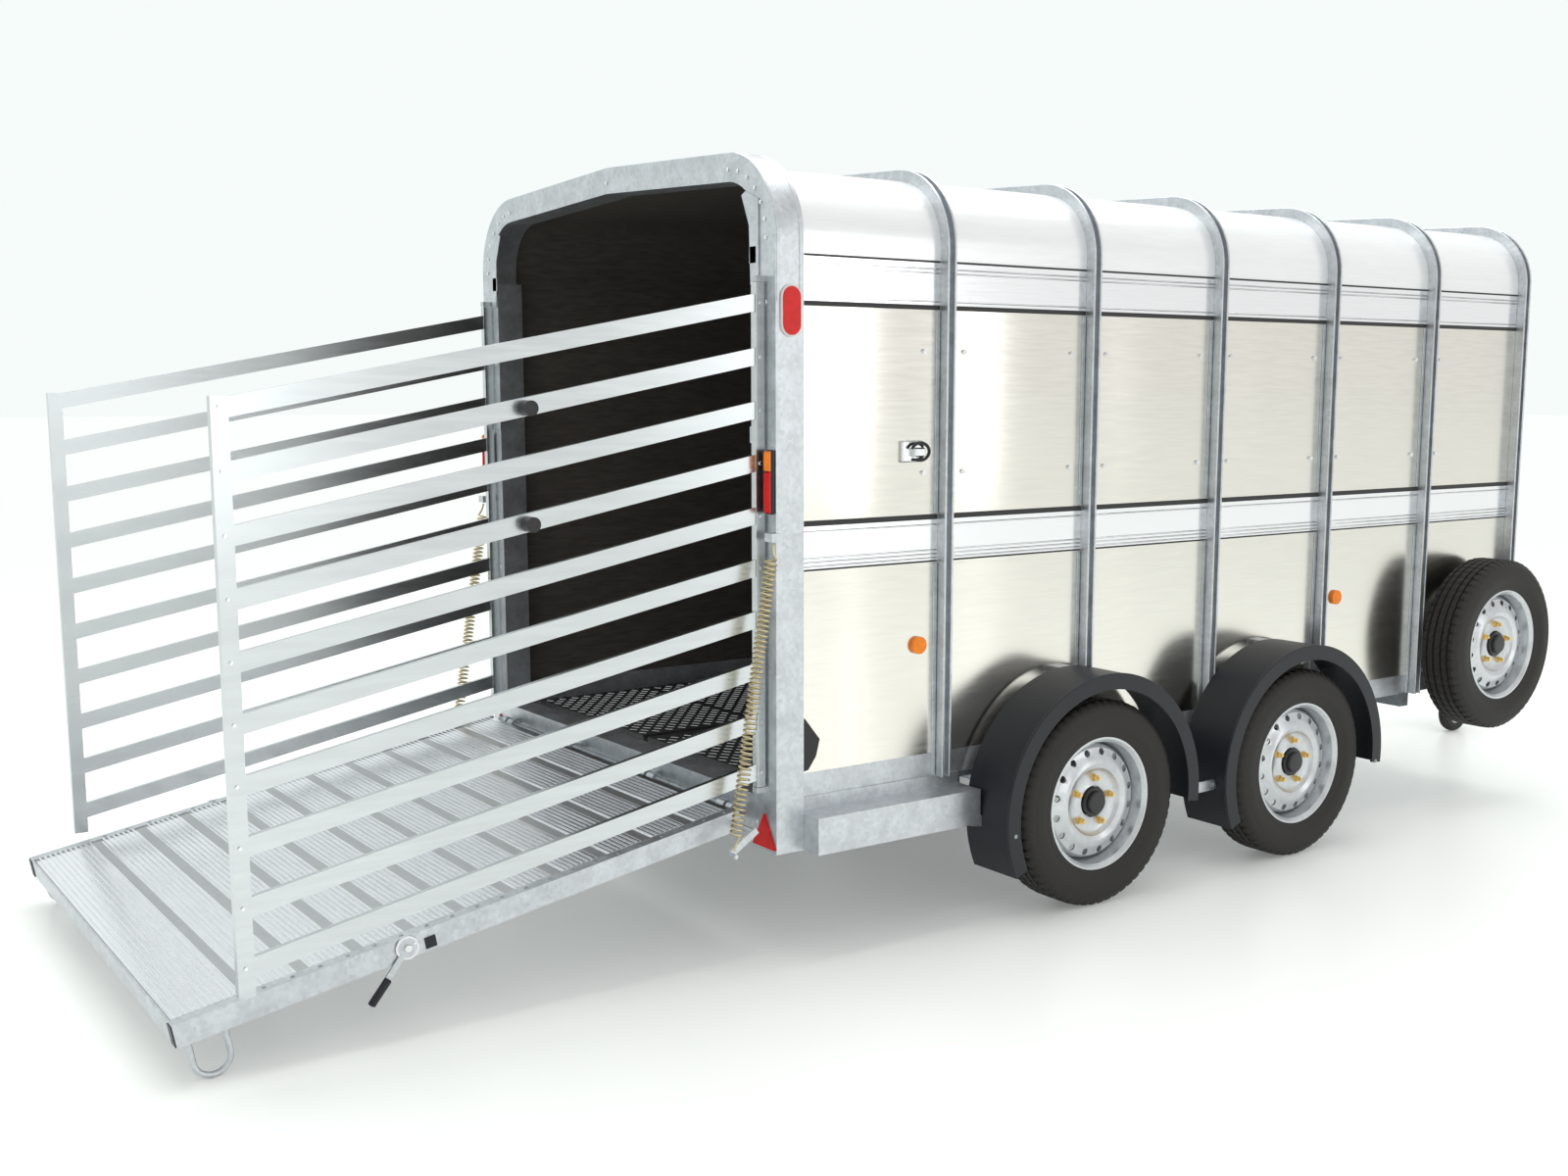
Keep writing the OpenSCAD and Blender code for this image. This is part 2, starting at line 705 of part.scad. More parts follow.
ramp_spring(far);  // ramp_spring_far
tyre(wheel_xs[0], near);  // tyre_rear_near
tyre(wheel_xs[1], near);  // tyre_front_near
tyre(wheel_xs[0], far);  // tyre_rear_far
tyre(wheel_xs[1], far);  // tyre_front_far
wheel(wheel_xs[0], near);  // wheel_rear_near
wheel(wheel_xs[1], near);  // wheel_front_near
wheel(wheel_xs[0], far);  // wheel_rear_far
wheel(wheel_xs[1], far);  // wheel_front_far
jockey_clamp();
jockey_stem();
jockey_wheel();
handbrake_lever();
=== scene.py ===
# %% [markdown]
# A livestock trailer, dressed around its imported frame.
# The frame brings every steel and aluminium piece at its true size and place. This lesson
# gives each one a finish, and models again the pieces whose detail the frame leaves out:
# the tyres, the steel wheels, the hoops, the ribbed ramp deck, the coil springs and the lamps.

# %% Load the frame and keep its box
import json
import math
import bmesh
import bpy
from mathutils import Matrix, Vector


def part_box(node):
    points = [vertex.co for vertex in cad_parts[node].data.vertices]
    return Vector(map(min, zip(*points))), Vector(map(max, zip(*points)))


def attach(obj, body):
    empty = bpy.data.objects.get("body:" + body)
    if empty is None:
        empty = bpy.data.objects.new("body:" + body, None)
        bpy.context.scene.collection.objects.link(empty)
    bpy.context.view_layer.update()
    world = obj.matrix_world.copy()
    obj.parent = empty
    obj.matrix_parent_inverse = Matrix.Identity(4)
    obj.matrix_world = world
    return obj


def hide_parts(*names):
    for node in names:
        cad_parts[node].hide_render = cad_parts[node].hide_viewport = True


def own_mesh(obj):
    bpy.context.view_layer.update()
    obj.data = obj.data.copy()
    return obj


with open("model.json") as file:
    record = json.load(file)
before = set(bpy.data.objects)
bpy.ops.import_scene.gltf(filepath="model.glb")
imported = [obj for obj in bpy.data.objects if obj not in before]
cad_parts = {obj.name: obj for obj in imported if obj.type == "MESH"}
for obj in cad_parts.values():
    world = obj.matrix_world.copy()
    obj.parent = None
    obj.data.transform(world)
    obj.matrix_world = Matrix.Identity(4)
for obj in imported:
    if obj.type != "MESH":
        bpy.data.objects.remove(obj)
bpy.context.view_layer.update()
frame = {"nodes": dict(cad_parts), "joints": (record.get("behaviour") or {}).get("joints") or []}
nodes = frame["nodes"]

# %% [markdown]
# Every place comes from the frame's own boxes, so the dressing follows the trailer if its
# sizes change. A few lines read the boxes that most pieces need.

# %% Places read from the frame
NEAR, FAR = -1, 1
SIDES = {"near": NEAR, "far": FAR}
panel_low, panel_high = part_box("upper_panels_far")
skin_y = panel_high.y
body_x0, body_x1 = panel_low.x, panel_high.x
FRAME_AHEAD, FRAME_HALF = 0.0663, 0.030
door_x = body_x0 - FRAME_AHEAD
frame_back = door_x - FRAME_HALF
mid_low, mid_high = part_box("mid_rails")
eaves_low, eaves_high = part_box("eaves_rails")
sill_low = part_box("sill_rails")[0]
floor_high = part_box("floor_deck")[1]
ramp_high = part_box("ramp_deck")[1]
joints = {j["name"]: j for j in frame["joints"]}
hinge = Vector(joints["ramp_hinge"]["pos_m"])
print("side sheets from", round(body_x0, 3), "to", round(body_x1, 3), "at y", round(skin_y, 3))

# %% [markdown]
# **The camera.** A long body seen from its rear corner needs a camera close by and a little
# below eye height, which keeps the doorway large and lets the far end run away. It is set
# by a place, a heading and a tilt. A small shift puts the horizon where it belongs.

# %% Camera
CAM_BEHIND, CAM_ASIDE, CAM_UP = 2.630, 4.795, 1.670
CAM_HEADING, CAM_TILT, CAM_ROLL = 35.55, 7.94, -0.08
SENSOR, IMAGE_W, FOCAL_W = 36.0, 1600.0, 1674.5
cam_data = bpy.data.cameras.new("camera")
cam_data.sensor_width = SENSOR
cam_data.lens = FOCAL_W / IMAGE_W * SENSOR
cam_data.shift_x, cam_data.shift_y = -0.020, 0.0175
cam_data.clip_end = 200
cam = bpy.data.objects.new("camera", cam_data)
turn = Matrix.Rotation(math.radians(-CAM_HEADING), 4, "Z")
tilt = Matrix.Rotation(math.radians(90 - CAM_TILT), 4, "X")
roll = Matrix.Rotation(math.radians(-CAM_ROLL), 4, "Z")
place = Matrix.Translation((door_x - CAM_BEHIND, -CAM_ASIDE, CAM_UP))
cam.matrix_world = place @ turn @ tilt @ roll
bpy.context.scene.collection.objects.link(cam)
bpy.context.scene.camera = cam
print("lens", round(cam_data.lens, 2), "mm")

# %% [markdown]
# **A finish from noise.** Real metal is never one flat value. Each finish here starts from
# the place of the surface in metres, stretches it along the brushing or the extrusion,
# and feeds noise to colour, roughness and a small bump. Values that do not change over the
# surface stay on the shader's own sockets.

# %% Finish helper
def finish(name, colour, metallic, rough, spread=0.06, stretch=(1, 1, 1), scale=40.0,
           vary=0.08, bump=0.05, **sockets):
    """A material whose colour, roughness and bump follow one stretched noise."""
    mat = bpy.data.materials.new(name)
    mat.use_nodes = True
    tree = mat.node_tree
    shader = tree.nodes["Principled BSDF"]
    shader.inputs["Metallic"].default_value = metallic
    for socket, value in sockets.items():
        shader.inputs[socket.replace("_", " ")].default_value = value
    coords = tree.nodes.new("ShaderNodeTexCoord")
    mapping = tree.nodes.new("ShaderNodeMapping")
    mapping.inputs["Scale"].default_value = stretch
    noise = tree.nodes.new("ShaderNodeTexNoise")
    noise.inputs["Scale"].default_value = scale
    noise.inputs["Detail"].default_value = 6.0
    ramp = tree.nodes.new("ShaderNodeValToRGB")
    ramp.color_ramp.elements[0].position = 0.3
    ramp.color_ramp.elements[1].position = 0.7
    ramp.color_ramp.elements[0].color = [c * (1 - vary) for c in colour] + [1]
    ramp.color_ramp.elements[1].color = [min(1, c * (1 + vary)) for c in colour] + [1]
    spread_node = tree.nodes.new("ShaderNodeMapRange")
    spread_node.inputs["To Min"].default_value = max(0.02, rough - spread)
    spread_node.inputs["To Max"].default_value = rough + spread
    bump_node = tree.nodes.new("ShaderNodeBump")
    bump_node.inputs["Strength"].default_value = bump
    bump_node.inputs["Distance"].default_value = 0.002
    link = tree.links.new
    link(coords.outputs["Object"], mapping.inputs["Vector"])
    link(mapping.outputs["Vector"], noise.inputs["Vector"])
    link(noise.outputs["Fac"], ramp.inputs["Fac"])
    link(noise.outputs["Fac"], spread_node.inputs["Value"])
    link(noise.outputs["Fac"], bump_node.inputs["Height"])
    link(ramp.outputs["Color"], shader.inputs["Base Color"])
    link(spread_node.outputs["Result"], shader.inputs["Roughness"])
    link(bump_node.outputs["Normal"], shader.inputs["Normal"])
    return mat

# %% [markdown]
# **Spangle.** Hot-dip zinc freezes into crystals a few millimetres across, each a slightly
# different grey. Cells from a Voronoi texture, mixed over the noise, give that patchwork.

# %% Galvanised finish
def add_spangle(mat, size, dark, light):
    """Lays zinc crystals of the given size over a finish."""
    tree = mat.node_tree
    shader = tree.nodes["Principled BSDF"]
    base = shader.inputs["Base Color"].links[0].from_socket
    coords = tree.nodes["Texture Coordinate"]
    cells = tree.nodes.new("ShaderNodeTexVoronoi")
    cells.inputs["Scale"].default_value = 1 / size
    grey = tree.nodes.new("ShaderNodeMapRange")
    grey.inputs["To Min"].default_value = dark
    grey.inputs["To Max"].default_value = light
    mix = tree.nodes.new("ShaderNodeMix")
    mix.data_type = "RGBA"
    mix.blend_type = "MULTIPLY"
    mix.inputs["Factor"].default_value = 1.0
    tree.links.new(coords.outputs["Object"], cells.inputs["Vector"])
    tree.links.new(cells.outputs["Color"], grey.inputs["Value"])
    tree.links.new(base, mix.inputs["A"])
    tree.links.new(grey.outputs["Result"], mix.inputs["B"])
    tree.links.new(mix.outputs["Result"], shader.inputs["Base Color"])
    return mat

galvanised = add_spangle(finish("galvanised steel", (0.62, 0.65, 0.68), 0.9, 0.36, 0.08,
                                scale=18, vary=0.10, bump=0.08), 0.012, 0.82, 1.0)
dark_zinc = add_spangle(finish("weathered zinc", (0.40, 0.44, 0.47), 0.9, 0.40, 0.08,
                               scale=14, vary=0.14, bump=0.10), 0.012, 0.70, 1.0)
print("zinc finishes", galvanised.name, dark_zinc.name)

# %% [markdown]
# **The other finishes.** Sheet aluminium is rolled, so its grain runs along the sheet and it
# mirrors softly. Extrusions have finer, longer die lines. Moulded plastic and rubber are
# grainy in every direction.

# %% Aluminium, plastic, rubber and lamp finishes
sheet_metal = finish("rolled aluminium sheet", (0.80, 0.78, 0.72), 1.0, 0.20, 0.05,
                     (1, 1, 14), 9, 0.03, 0.015)


def add_bow(mat, pitch, phase, depth):
    """Bends the shading of a sheet outwards between its hoops."""
    tree = mat.node_tree
    coords = tree.nodes["Texture Coordinate"]
    fine = tree.nodes["Bump"]
    split = tree.nodes.new("ShaderNodeSeparateXYZ")
    angle = tree.nodes.new("ShaderNodeMath")
    angle.operation = "MULTIPLY_ADD"
    angle.inputs[1].default_value = 2 * math.pi / pitch
    angle.inputs[2].default_value = -2 * math.pi / pitch * phase
    wave = tree.nodes.new("ShaderNodeMath")
    wave.operation = "COSINE"
    bow = tree.nodes.new("ShaderNodeBump")
    bow.inputs["Strength"].default_value = 1.0
    bow.inputs["Distance"].default_value = depth
    bow.invert = True
    tree.links.new(coords.outputs["Object"], split.inputs["Vector"])
    tree.links.new(split.outputs["X"], angle.inputs[0])
    tree.links.new(angle.outputs["Value"], wave.inputs[0])
    tree.links.new(wave.outputs["Value"], bow.inputs["Height"])
    tree.links.new(bow.outputs["Normal"], fine.inputs["Normal"])


hoop_xs = [sum(v.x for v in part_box(f"hoop_{k}")) / 2 for k in range(1, 7)]
add_bow(sheet_metal, hoop_xs[1] - hoop_xs[0], hoop_xs[0], 0.005)
extruded = finish("extruded aluminium", (0.90, 0.91, 0.93), 1.0, 0.24, 0.05,
                  (1.5, 18, 60), 6, 0.03, 0.03)
gate_metal = finish("gate extrusion", (0.60, 0.63, 0.64), 1.0, 0.25, 0.05,
                    (1.0, 6, 14), 5, 0.05, 0.012)
rail_metal = finish("bright rail extrusion", (0.92, 0.93, 0.95), 1.0, 0.17, 0.04,
                    (1.5, 30, 90), 6, 0.02, 0.02)
deck_metal = finish("deck plank aluminium", (0.88, 0.89, 0.91), 1.0, 0.23, 0.06,
                    (60, 1.5, 18), 6, 0.05, 0.03)
dull_deck = finish("dull joint strip", (0.50, 0.51, 0.52), 1.0, 0.38, 0.06,
                   (60, 1.5, 18), 6, 0.08, 0.03)
roof_sheet = finish("pale roof sheet", (0.90, 0.91, 0.92), 0.55, 0.24, 0.05,
                    (1, 8, 8), 7, 0.02, 0.01)
# Painted shade: a near-black finish for the sheet that stands in for the shade inside the hold.
shade_sheet = finish("painted shade sheet", (0.075, 0.066, 0.058), 0.0, 0.42, 0.10,
                (2, 2, 14), 8, 0.25, 0.03)
black_plastic = finish("moulded black plastic", (0.014, 0.016, 0.021), 0.0, 0.40, 0.07,
                       scale=160, vary=0.15, bump=0.12, Specular_IOR_Level=0.35)
tyre_rubber = finish("tyre rubber", (0.020, 0.018, 0.017), 0.0, 0.60, 0.10,
                     scale=120, vary=0.25, bump=0.16, Specular_IOR_Level=0.35)
seal_rubber = finish("black seal", (0.012, 0.012, 0.013), 0.0, 0.45, 0.08,
                     scale=90, vary=0.2, bump=0.08)
mat_rubber = finish("floor mat rubber", (0.018, 0.018, 0.018), 0.0, 0.55, 0.10,
                    scale=110, vary=0.2, bump=0.15)
wheel_paint = finish("silver wheel paint", (0.60, 0.62, 0.64), 0.75, 0.30, 0.05,
                     scale=60, vary=0.06, bump=0.04, Coat_Weight=0.3)
gold_zinc = finish("yellow passivated zinc", (0.80, 0.56, 0.20), 1.0, 0.30, 0.08,
                   scale=90, vary=0.20, bump=0.05)
spring_zinc = finish("spring wire", (0.60, 0.52, 0.33), 1.0, 0.30, 0.08,
                     scale=70, vary=0.18, bump=0.05)
polished = finish("polished steel", (0.78, 0.79, 0.80), 1.0, 0.14, 0.05,
                  scale=70, vary=0.05, bump=0.02)
red_lens = finish("red lens", (0.62, 0.010, 0.010), 0.0, 0.24, 0.04,
                  scale=50, vary=0.12, bump=0.03, Specular_IOR_Level=0.25)
amber_lens = finish("amber lens", (0.90, 0.24, 0.02), 0.0, 0.24, 0.04,
                    scale=50, vary=0.10, bump=0.03, Specular_IOR_Level=0.25)
pale_plastic = finish("pale plastic rim", (0.72, 0.70, 0.68), 0.0, 0.35, 0.05, scale=70, vary=0.06, bump=0.03)
black_paint = finish("black paint", (0.022, 0.022, 0.024), 0.1, 0.30, 0.06,
                     scale=80, vary=0.15, bump=0.05)
print("finishes", len(bpy.data.materials))

# %% [markdown]
# **Dressing the frame's own pieces.** Pieces whose shape is already right only change their
# finish. One table of names says which finish each takes.

# %% Finishes of the frame's pieces
DRESS = {
    galvanised: ["rear_frame", "side_step_near", "side_step_far", "sill_rails", "mudguard_stays",
                 "spare_carrier", "ramp_frame", "ramp_lever_near", "ramp_lever_far",
                 "jockey_clamp", "jockey_stem", "drawbar"],
    dark_zinc: ["chassis_frame", "axles", "ramp_hinge_rod", "leaf_springs"],
    sheet_metal: ["lower_panels_near", "lower_panels_far", "upper_panels_near",
                  "upper_panels_far", "front_wall"],
    gate_metal: ["gate_posts_near", "gate_posts_far", "gate_rails_near", "gate_rails_far"],
    extruded: ["floor_deck"],
    rail_metal: ["mid_rails", "eaves_rails"],
    roof_sheet: ["roof_skin"],
    black_plastic: ["mudguards_near", "mudguards_far"],
    mat_rubber: ["floor_mats"],
    seal_rubber: ["gate_buffers_near", "gate_buffers_far"],
    polished: ["panel_bolts"],
    amber_lens: ["amber_markers"],
    red_lens: ["red_reflectors"],
    tyre_rubber: ["jockey_wheel"],
    black_paint: ["coupling_head", "handbrake_lever"],
}
for mat, names in DRESS.items():
    for name in names:
        nodes[name].data.materials.clear()
        nodes[name].data.materials.append(mat)
print("dressed", sum(len(v) for v in DRESS.values()), "frame pieces")

# %% [markdown]
# ** Making pieces from points.** A piece is a list of points and faces, a finish and the body it
# rides on. Smooth shading with a sharp angle keeps turned faces round and folded edges crisp.

# %% Piece helpers
def piece(name, points, faces, mat, body, slot_name, smooth=35, replaces=()):
    """A mesh piece in metres that rides on a body."""
    mesh = bpy.data.meshes.new(name)
    mesh.from_pydata([tuple(p) for p in points], [], faces)
    bm = bmesh.new()
    bm.from_mesh(mesh)
    bmesh.ops.recalc_face_normals(bm, faces=bm.faces)
    bm.to_mesh(mesh)
    bm.free()
    mesh.materials.append(mat)
    obj = bpy.data.objects.new(name, mesh)
    bpy.context.scene.collection.objects.link(obj)
    if smooth:
        mesh.polygons.foreach_set("use_smooth", [True] * len(mesh.polygons))
        mesh.set_sharp_from_angle(angle=math.radians(smooth))
    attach(obj, body)
    if replaces:
        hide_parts(*replaces)
    return obj


class Parts:
    """Collects several closed shapes into one list of points and faces."""

    def __init__(self):
        self.points, self.faces = [], []

    def add(self, points, faces):
        start = len(self.points)
        self.points += [Vector(p) for p in points]
        self.faces += [[start + i for i in f] for f in faces]

    def loft(self, rings, closed=False, caps=True):
        """Joins rings of equal length into a skin."""
        n, m = len(rings[0]), len(rings)
        faces = []
        for i in range(m if closed else m - 1):
            for j in range(n):
                a, b = i * n, ((i + 1) % m) * n
                faces.append([a + j, a + (j + 1) % n, b + (j + 1) % n, b + j])
        if caps and not closed:
            faces += [list(range(n))[::-1], [(m - 1) * n + j for j in range(n)]]
        self.add([p for ring in rings for p in ring], faces)

    def bevel_box(self, low, high, cut=0.002):
        """A box with bevelled upright and flat edges."""
        low, high = Vector(low), Vector(high)
        cut = min(cut, min(high - low) * 0.45)
        rings = []
        for z, c in ((low.z, cut), (low.z + cut, 0), (high.z - cut, 0), (high.z, cut)):
            x0, x1, y0, y1 = low.x + c, high.x - c, low.y + c, high.y - c
            rings.append([(x0 + cut, y0, z), (x1 - cut, y0, z), (x1, y0 + cut, z), (x1, y1 - cut, z),
                          (x1 - cut, y1, z), (x0 + cut, y1, z), (x0, y1 - cut, z), (x0, y0 + cut, z)])
        self.loft(rings)

    def rod(self, centre, axis, length, radius, sides=24, cut=0.001):
        """A round rod with bevelled ends, starting at centre."""
        axis = Vector(axis).normalized()
        u = axis.orthogonal().normalized()
        v = axis.cross(u)
        rings = []
        for t, r in ((0, radius - cut), (cut, radius), (length - cut, radius), (length, radius - cut)):
            rings.append([Vector(centre) + axis * t + (u * math.cos(a) + v * math.sin(a)) * r
                          for a in (2 * math.pi * k / sides for k in range(sides))])
        self.loft(rings)

    def make(self, name, mat, body, slot_name, **more):
        return piece(name, self.points, self.faces, mat, body, slot_name, **more)


def turned(profile, centre, side, steps, radius_at=None):
    """Rings of a closed profile of (radius, outward) points turned about an axle along Y."""
    rings = []
    for k in range(steps):
        a = 2 * math.pi * k / steps
        ring = []
        for i, (r, w) in enumerate(profile):
            rr = radius_at(k, i, r) if radius_at else r
            ring.append((centre[0] + rr * math.cos(a), centre[1] + side * w, centre[2] + rr * math.sin(a)))
        rings.append(ring)
    return rings

print("helpers ready")

# %% [markdown]
# **Tyres.** A van tyre has ribs split by four grooves, blocks cut into its shoulders and a
# raised guard ring on the wall. The half section is turned about the axle, and every
# fourth step of the turn sinks the block edges, which cuts the tread without any boolean.

# %% Tyre section and tread
TREAD_STEPS = 240
GROOVE_DEPTH, BLOCK_CUT = 0.008, 0.006
GROOVES = (-0.044, -0.016, 0.016, 0.044)
GROOVE_HALF = 0.004


def tyre_profile(radius, half):
    """Closed half section: bead, wall, shoulder, tread and back again."""
    wall = [(0.2065, 0.058), (0.214, 0.068), (0.226, 0.0725), (0.233, 0.0755), (0.241, 0.0755),
            (0.248, 0.0785), (0.268, half), (0.292, half - 0.0003), (0.300, half - 0.0022),
            (0.308, half - 0.0015), (0.320, half - 0.0065), (radius - 0.008, half - 0.0125)]
    tread = [(radius - 0.0015, half - 0.0205)]
    for g in reversed(GROOVES):
        tread += [(radius, g + GROOVE_HALF), (radius - GROOVE_DEPTH, g + GROOVE_HALF * 0.5),
                  (radius - GROOVE_DEPTH, g - GROOVE_HALF * 0.5), (radius, g - GROOVE_HALF)]
    tread.append((radius - 0.0015, -(half - 0.0205)))
    return wall + tread + [(r, -w) for r, w in reversed(wall)], len(wall)


def tyre(name, centre, side, body, node):
    low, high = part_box(node)
    radius, half = (high.z - low.z) / 2, (high.y - low.y) / 2
    profile, wall_n = tyre_profile(radius, half)
    tread = range(wall_n - 1, len(profile) - wall_n + 1)

    def radius_at(step, i, r):
        shoulder = i < wall_n + 2 or i > len(profile) - wall_n - 3
        if i in tread and step % 4 == 0:
            return r - (BLOCK_CUT if shoulder else BLOCK_CUT * 0.45)
        return r

    part = Parts()
    part.loft(turned(profile, centre, side, TREAD_STEPS, radius_at), closed=True)
    return part.make(name, tyre_rubber, body, "tyre_rubber", smooth=28, replaces=[node])

# %% [markdown]
# **Steel wheels.** The rim is a rolled channel and the disc a pressed bowl with a ring of
# vents. Both are turned shapes. The vents are cut through the bowl by a boolean, which is
# done once and copied to every wheel.

# %% Rim, disc, nuts and hub cap
RIM_STEPS = 96
VENTS = 16
RIM = [(0.2060, 0.066), (0.2110, 0.071), (0.2175, 0.0705), (0.2180, 0.064), (0.2060, 0.058),
       (0.2030, 0.030), (0.1950, 0.010), (0.1950, -0.030), (0.2040, -0.050), (0.2060, -0.062),
       (0.2170, -0.066), (0.2165, -0.071), (0.2020, -0.067), (0.1990, -0.050), (0.1900, -0.030),
       (0.1900, 0.008), (0.1975, 0.032), (0.2010, 0.060)]
DISC = [(0.1895, 0.002), (0.1880, 0.020), (0.1780, 0.034), (0.1560, 0.040), (0.1440, 0.050),
        (0.1280, 0.053), (0.1120, 0.046), (0.1040, 0.034), (0.0960, 0.030), (0.0620, 0.030),
        (0.0520, 0.034), (0.0500, 0.030), (0.0500, 0.024), (0.1000, 0.024), (0.1100, 0.032),
        (0.1280, 0.047), (0.1420, 0.044), (0.1540, 0.034), (0.1760, 0.028), (0.1830, 0.016),
        (0.1840, 0.002)]


def disc_mesh():
    """The pressed disc about the origin, facing +Y, with its vents cut through."""
    part = Parts()
    part.loft(turned(DISC, (0, 0, 0), 1, RIM_STEPS), closed=True)
    mesh = bpy.data.meshes.new("disc")
    mesh.from_pydata([tuple(p) for p in part.points], [], part.faces)
    bm = bmesh.new()
    bm.from_mesh(mesh)
    bmesh.ops.recalc_face_normals(bm, faces=bm.faces)
    bm.to_mesh(mesh)
    bm.free()
    disc = bpy.data.objects.new("disc", mesh)
    cut = Parts()
    for k in range(VENTS):
        a = 2 * math.pi * (k + 0.5) / VENTS
        along = Vector((math.cos(a), 0, math.sin(a)))
        cut.rod(along * 0.160 - Vector((0, 0.01, 0)), (0.12 * along.x, 1, 0.12 * along.z), 0.07, 0.0118, 20)
    cutter_mesh = bpy.data.meshes.new("cutter")
    cutter_mesh.from_pydata([tuple(p) for p in cut.points], [], cut.faces)
    cutter = bpy.data.objects.new("cutter", cutter_mesh)
    for o in (disc, cutter):
        bpy.context.scene.collection.objects.link(o)
    boolean = disc.modifiers.new("vents", "BOOLEAN")
    boolean.operation, boolean.object, boolean.solver = "DIFFERENCE", cutter, "EXACT"
    result = bpy.data.meshes.new_from_object(disc.evaluated_get(bpy.context.evaluated_depsgraph_get()))
    points = [v.co.copy() for v in result.vertices]
    faces = [list(p.vertices) for p in result.polygons]
    for o in (disc, cutter):
        bpy.data.objects.remove(o)
    return points, faces


disc_points, disc_faces = disc_mesh()
print("disc faces", len(disc_faces))


def wheel(label, centre, side, body, node):
    part = Parts()
    part.loft(turned(RIM, centre, side, RIM_STEPS), closed=True)
    part.add([(centre[0] + p.x, centre[1] + side * p.y, centre[2] + p.z) for p in disc_points], disc_faces)
    part.make(f"steel_wheel_{label}", wheel_paint, body, "wheel_paint", smooth=30, replaces=[node])
    hub, nuts = Parts(), Parts()
    cap = [(0.0485, -0.030), (0.0485, 0.044), (0.045, 0.047), (0.0375, 0.047), (0.0365, 0.056),
           (0.033, 0.0595), (0.012, 0.0605), (0.0001, 0.0605), (0.0001, -0.030)]
    hub.loft(turned(cap, centre, side, 48), closed=True)
    hub.make(f"hub_cap_{label}", black_paint, body, "coupling_paint", smooth=30)
    for k in range(5):
        a = 2 * math.pi * (k + 0.15) / 5
        at = Vector((centre[0] + 0.078 * math.cos(a), centre[1] + side * 0.029,
                     centre[2] + 0.078 * math.sin(a)))
        nuts.rod(at, (0, side, 0), 0.005, 0.0125, 24)
        nuts.rod(at + Vector((0, side * 0.0045, 0)), (0, side, 0), 0.014, 0.0105, 6, 0.002)
        nuts.rod(at + Vector((0, side * 0.018, 0)), (0, side, 0), 0.008, 0.006, 16)
    nuts.make(f"wheel_nuts_{label}", gold_zinc, body, "wheel_paint", smooth=30)


for axle in ("rear", "front"):
    for side_name, side in SIDES.items():
        label = f"{axle}_{side_name}"
        low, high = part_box(f"tyre_{label}")
        middle = (low + high) / 2
        tyre(f"tyre_tread_{label}", middle, side, f"wheel_{label}", f"tyre_{label}")
        wheel(label, middle, side, f"wheel_{label}", f"wheel_{label}")
low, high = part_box("spare_tyre")
tyre("spare_tread", (low + high) / 2, NEAR, "trailer", "spare_tyre")
wheel("spare", (low + high) / 2, NEAR, "trailer", "spare_rim")
print("wheels made")

# %% [markdown]
# **Hoops.** Each hoop is one rolled channel bent over the body, open side out, so two
# bright lips run beside a shaded groove. The path is read from the frame's own sizes: straight legs,
# a round shoulder and two gentle roof slopes. The section is carried along it.

# %% Hoop path and section
ROOF_SLOPE = math.radians(2.6)
SHOULDER = 0.215
EAVES = 2.080
HOOP_SECTION = [(-0.018, 0.0004), (-0.018, 0.0335), (-0.0165, 0.035), (-0.0115, 0.035),
                (-0.0100, 0.0335), (-0.0090, 0.012), (0.0090, 0.012), (0.0100, 0.0335),
                (0.0115, 0.035), (0.0165, 0.035), (0.018, 0.0335), (0.018, 0.0004)]


def outline(bottom, lift=0.0, arcs=14):
    """Points of the body outline and their outward directions, near foot to far foot."""
    right = [(Vector((0, skin_y, bottom)), Vector((0, 1, 0)))]
    for k in range(arcs + 1):
        a = (math.pi / 2 - ROOF_SLOPE) * k / arcs
        out = Vector((0, math.cos(a), math.sin(a)))
        right.append((Vector((0, skin_y - SHOULDER, EAVES)) + out * SHOULDER, out))
    ty, tz = right[-1][0].y, right[-1][0].z
    right.append((Vector((0, 0, tz + ty * math.tan(ROOF_SLOPE))), Vector((0, 0, 1))))
    left = [(Vector((0, -p.y, p.z)), Vector((0, -o.y, o.z))) for p, o in right[:-1]]
    return [(p + o * lift, o) for p, o in left + right[::-1]]


def bent_section(section, path, x):
    """Carries a section of (along X, outward) points along the outline."""
    return [[p + o * h + Vector((x + u, 0, 0)) for u, h in section] for p, o in path]


for k in range(1, 7):
    low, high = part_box(f"hoop_{k}")
    part = Parts()
    part.loft(bent_section(HOOP_SECTION, outline(low.z), (low.x + high.x) / 2))
    part.make(f"pressed_hoop_{k}", galvanised, "trailer", "galvanised", smooth=40, replaces=[f"hoop_{k}"])
arch_bead = [(-0.006, 0.030), (-0.006, 0.0345), (-0.003, 0.0375),
             (0.003, 0.0375), (0.006, 0.0345), (0.006, 0.030)]
for label, x in (("rear", frame_back + 0.007), ("front", door_x + 0.054)):
    part = Parts()
    part.loft(bent_section(arch_bead, outline(eaves_low.z), x))
    part.make(f"arch_bead_{label}", galvanised, "trailer", "galvanised")
print("hoops made")

# %% [markdown]
# **Seals and joints of the sides.** A black rubber seal closes each joint between sheet and
# band, and narrow galvanised flats stand beside each hoop. They are thin, but they draw
# the lines that make the side readable, so each is its own small bevelled strip.

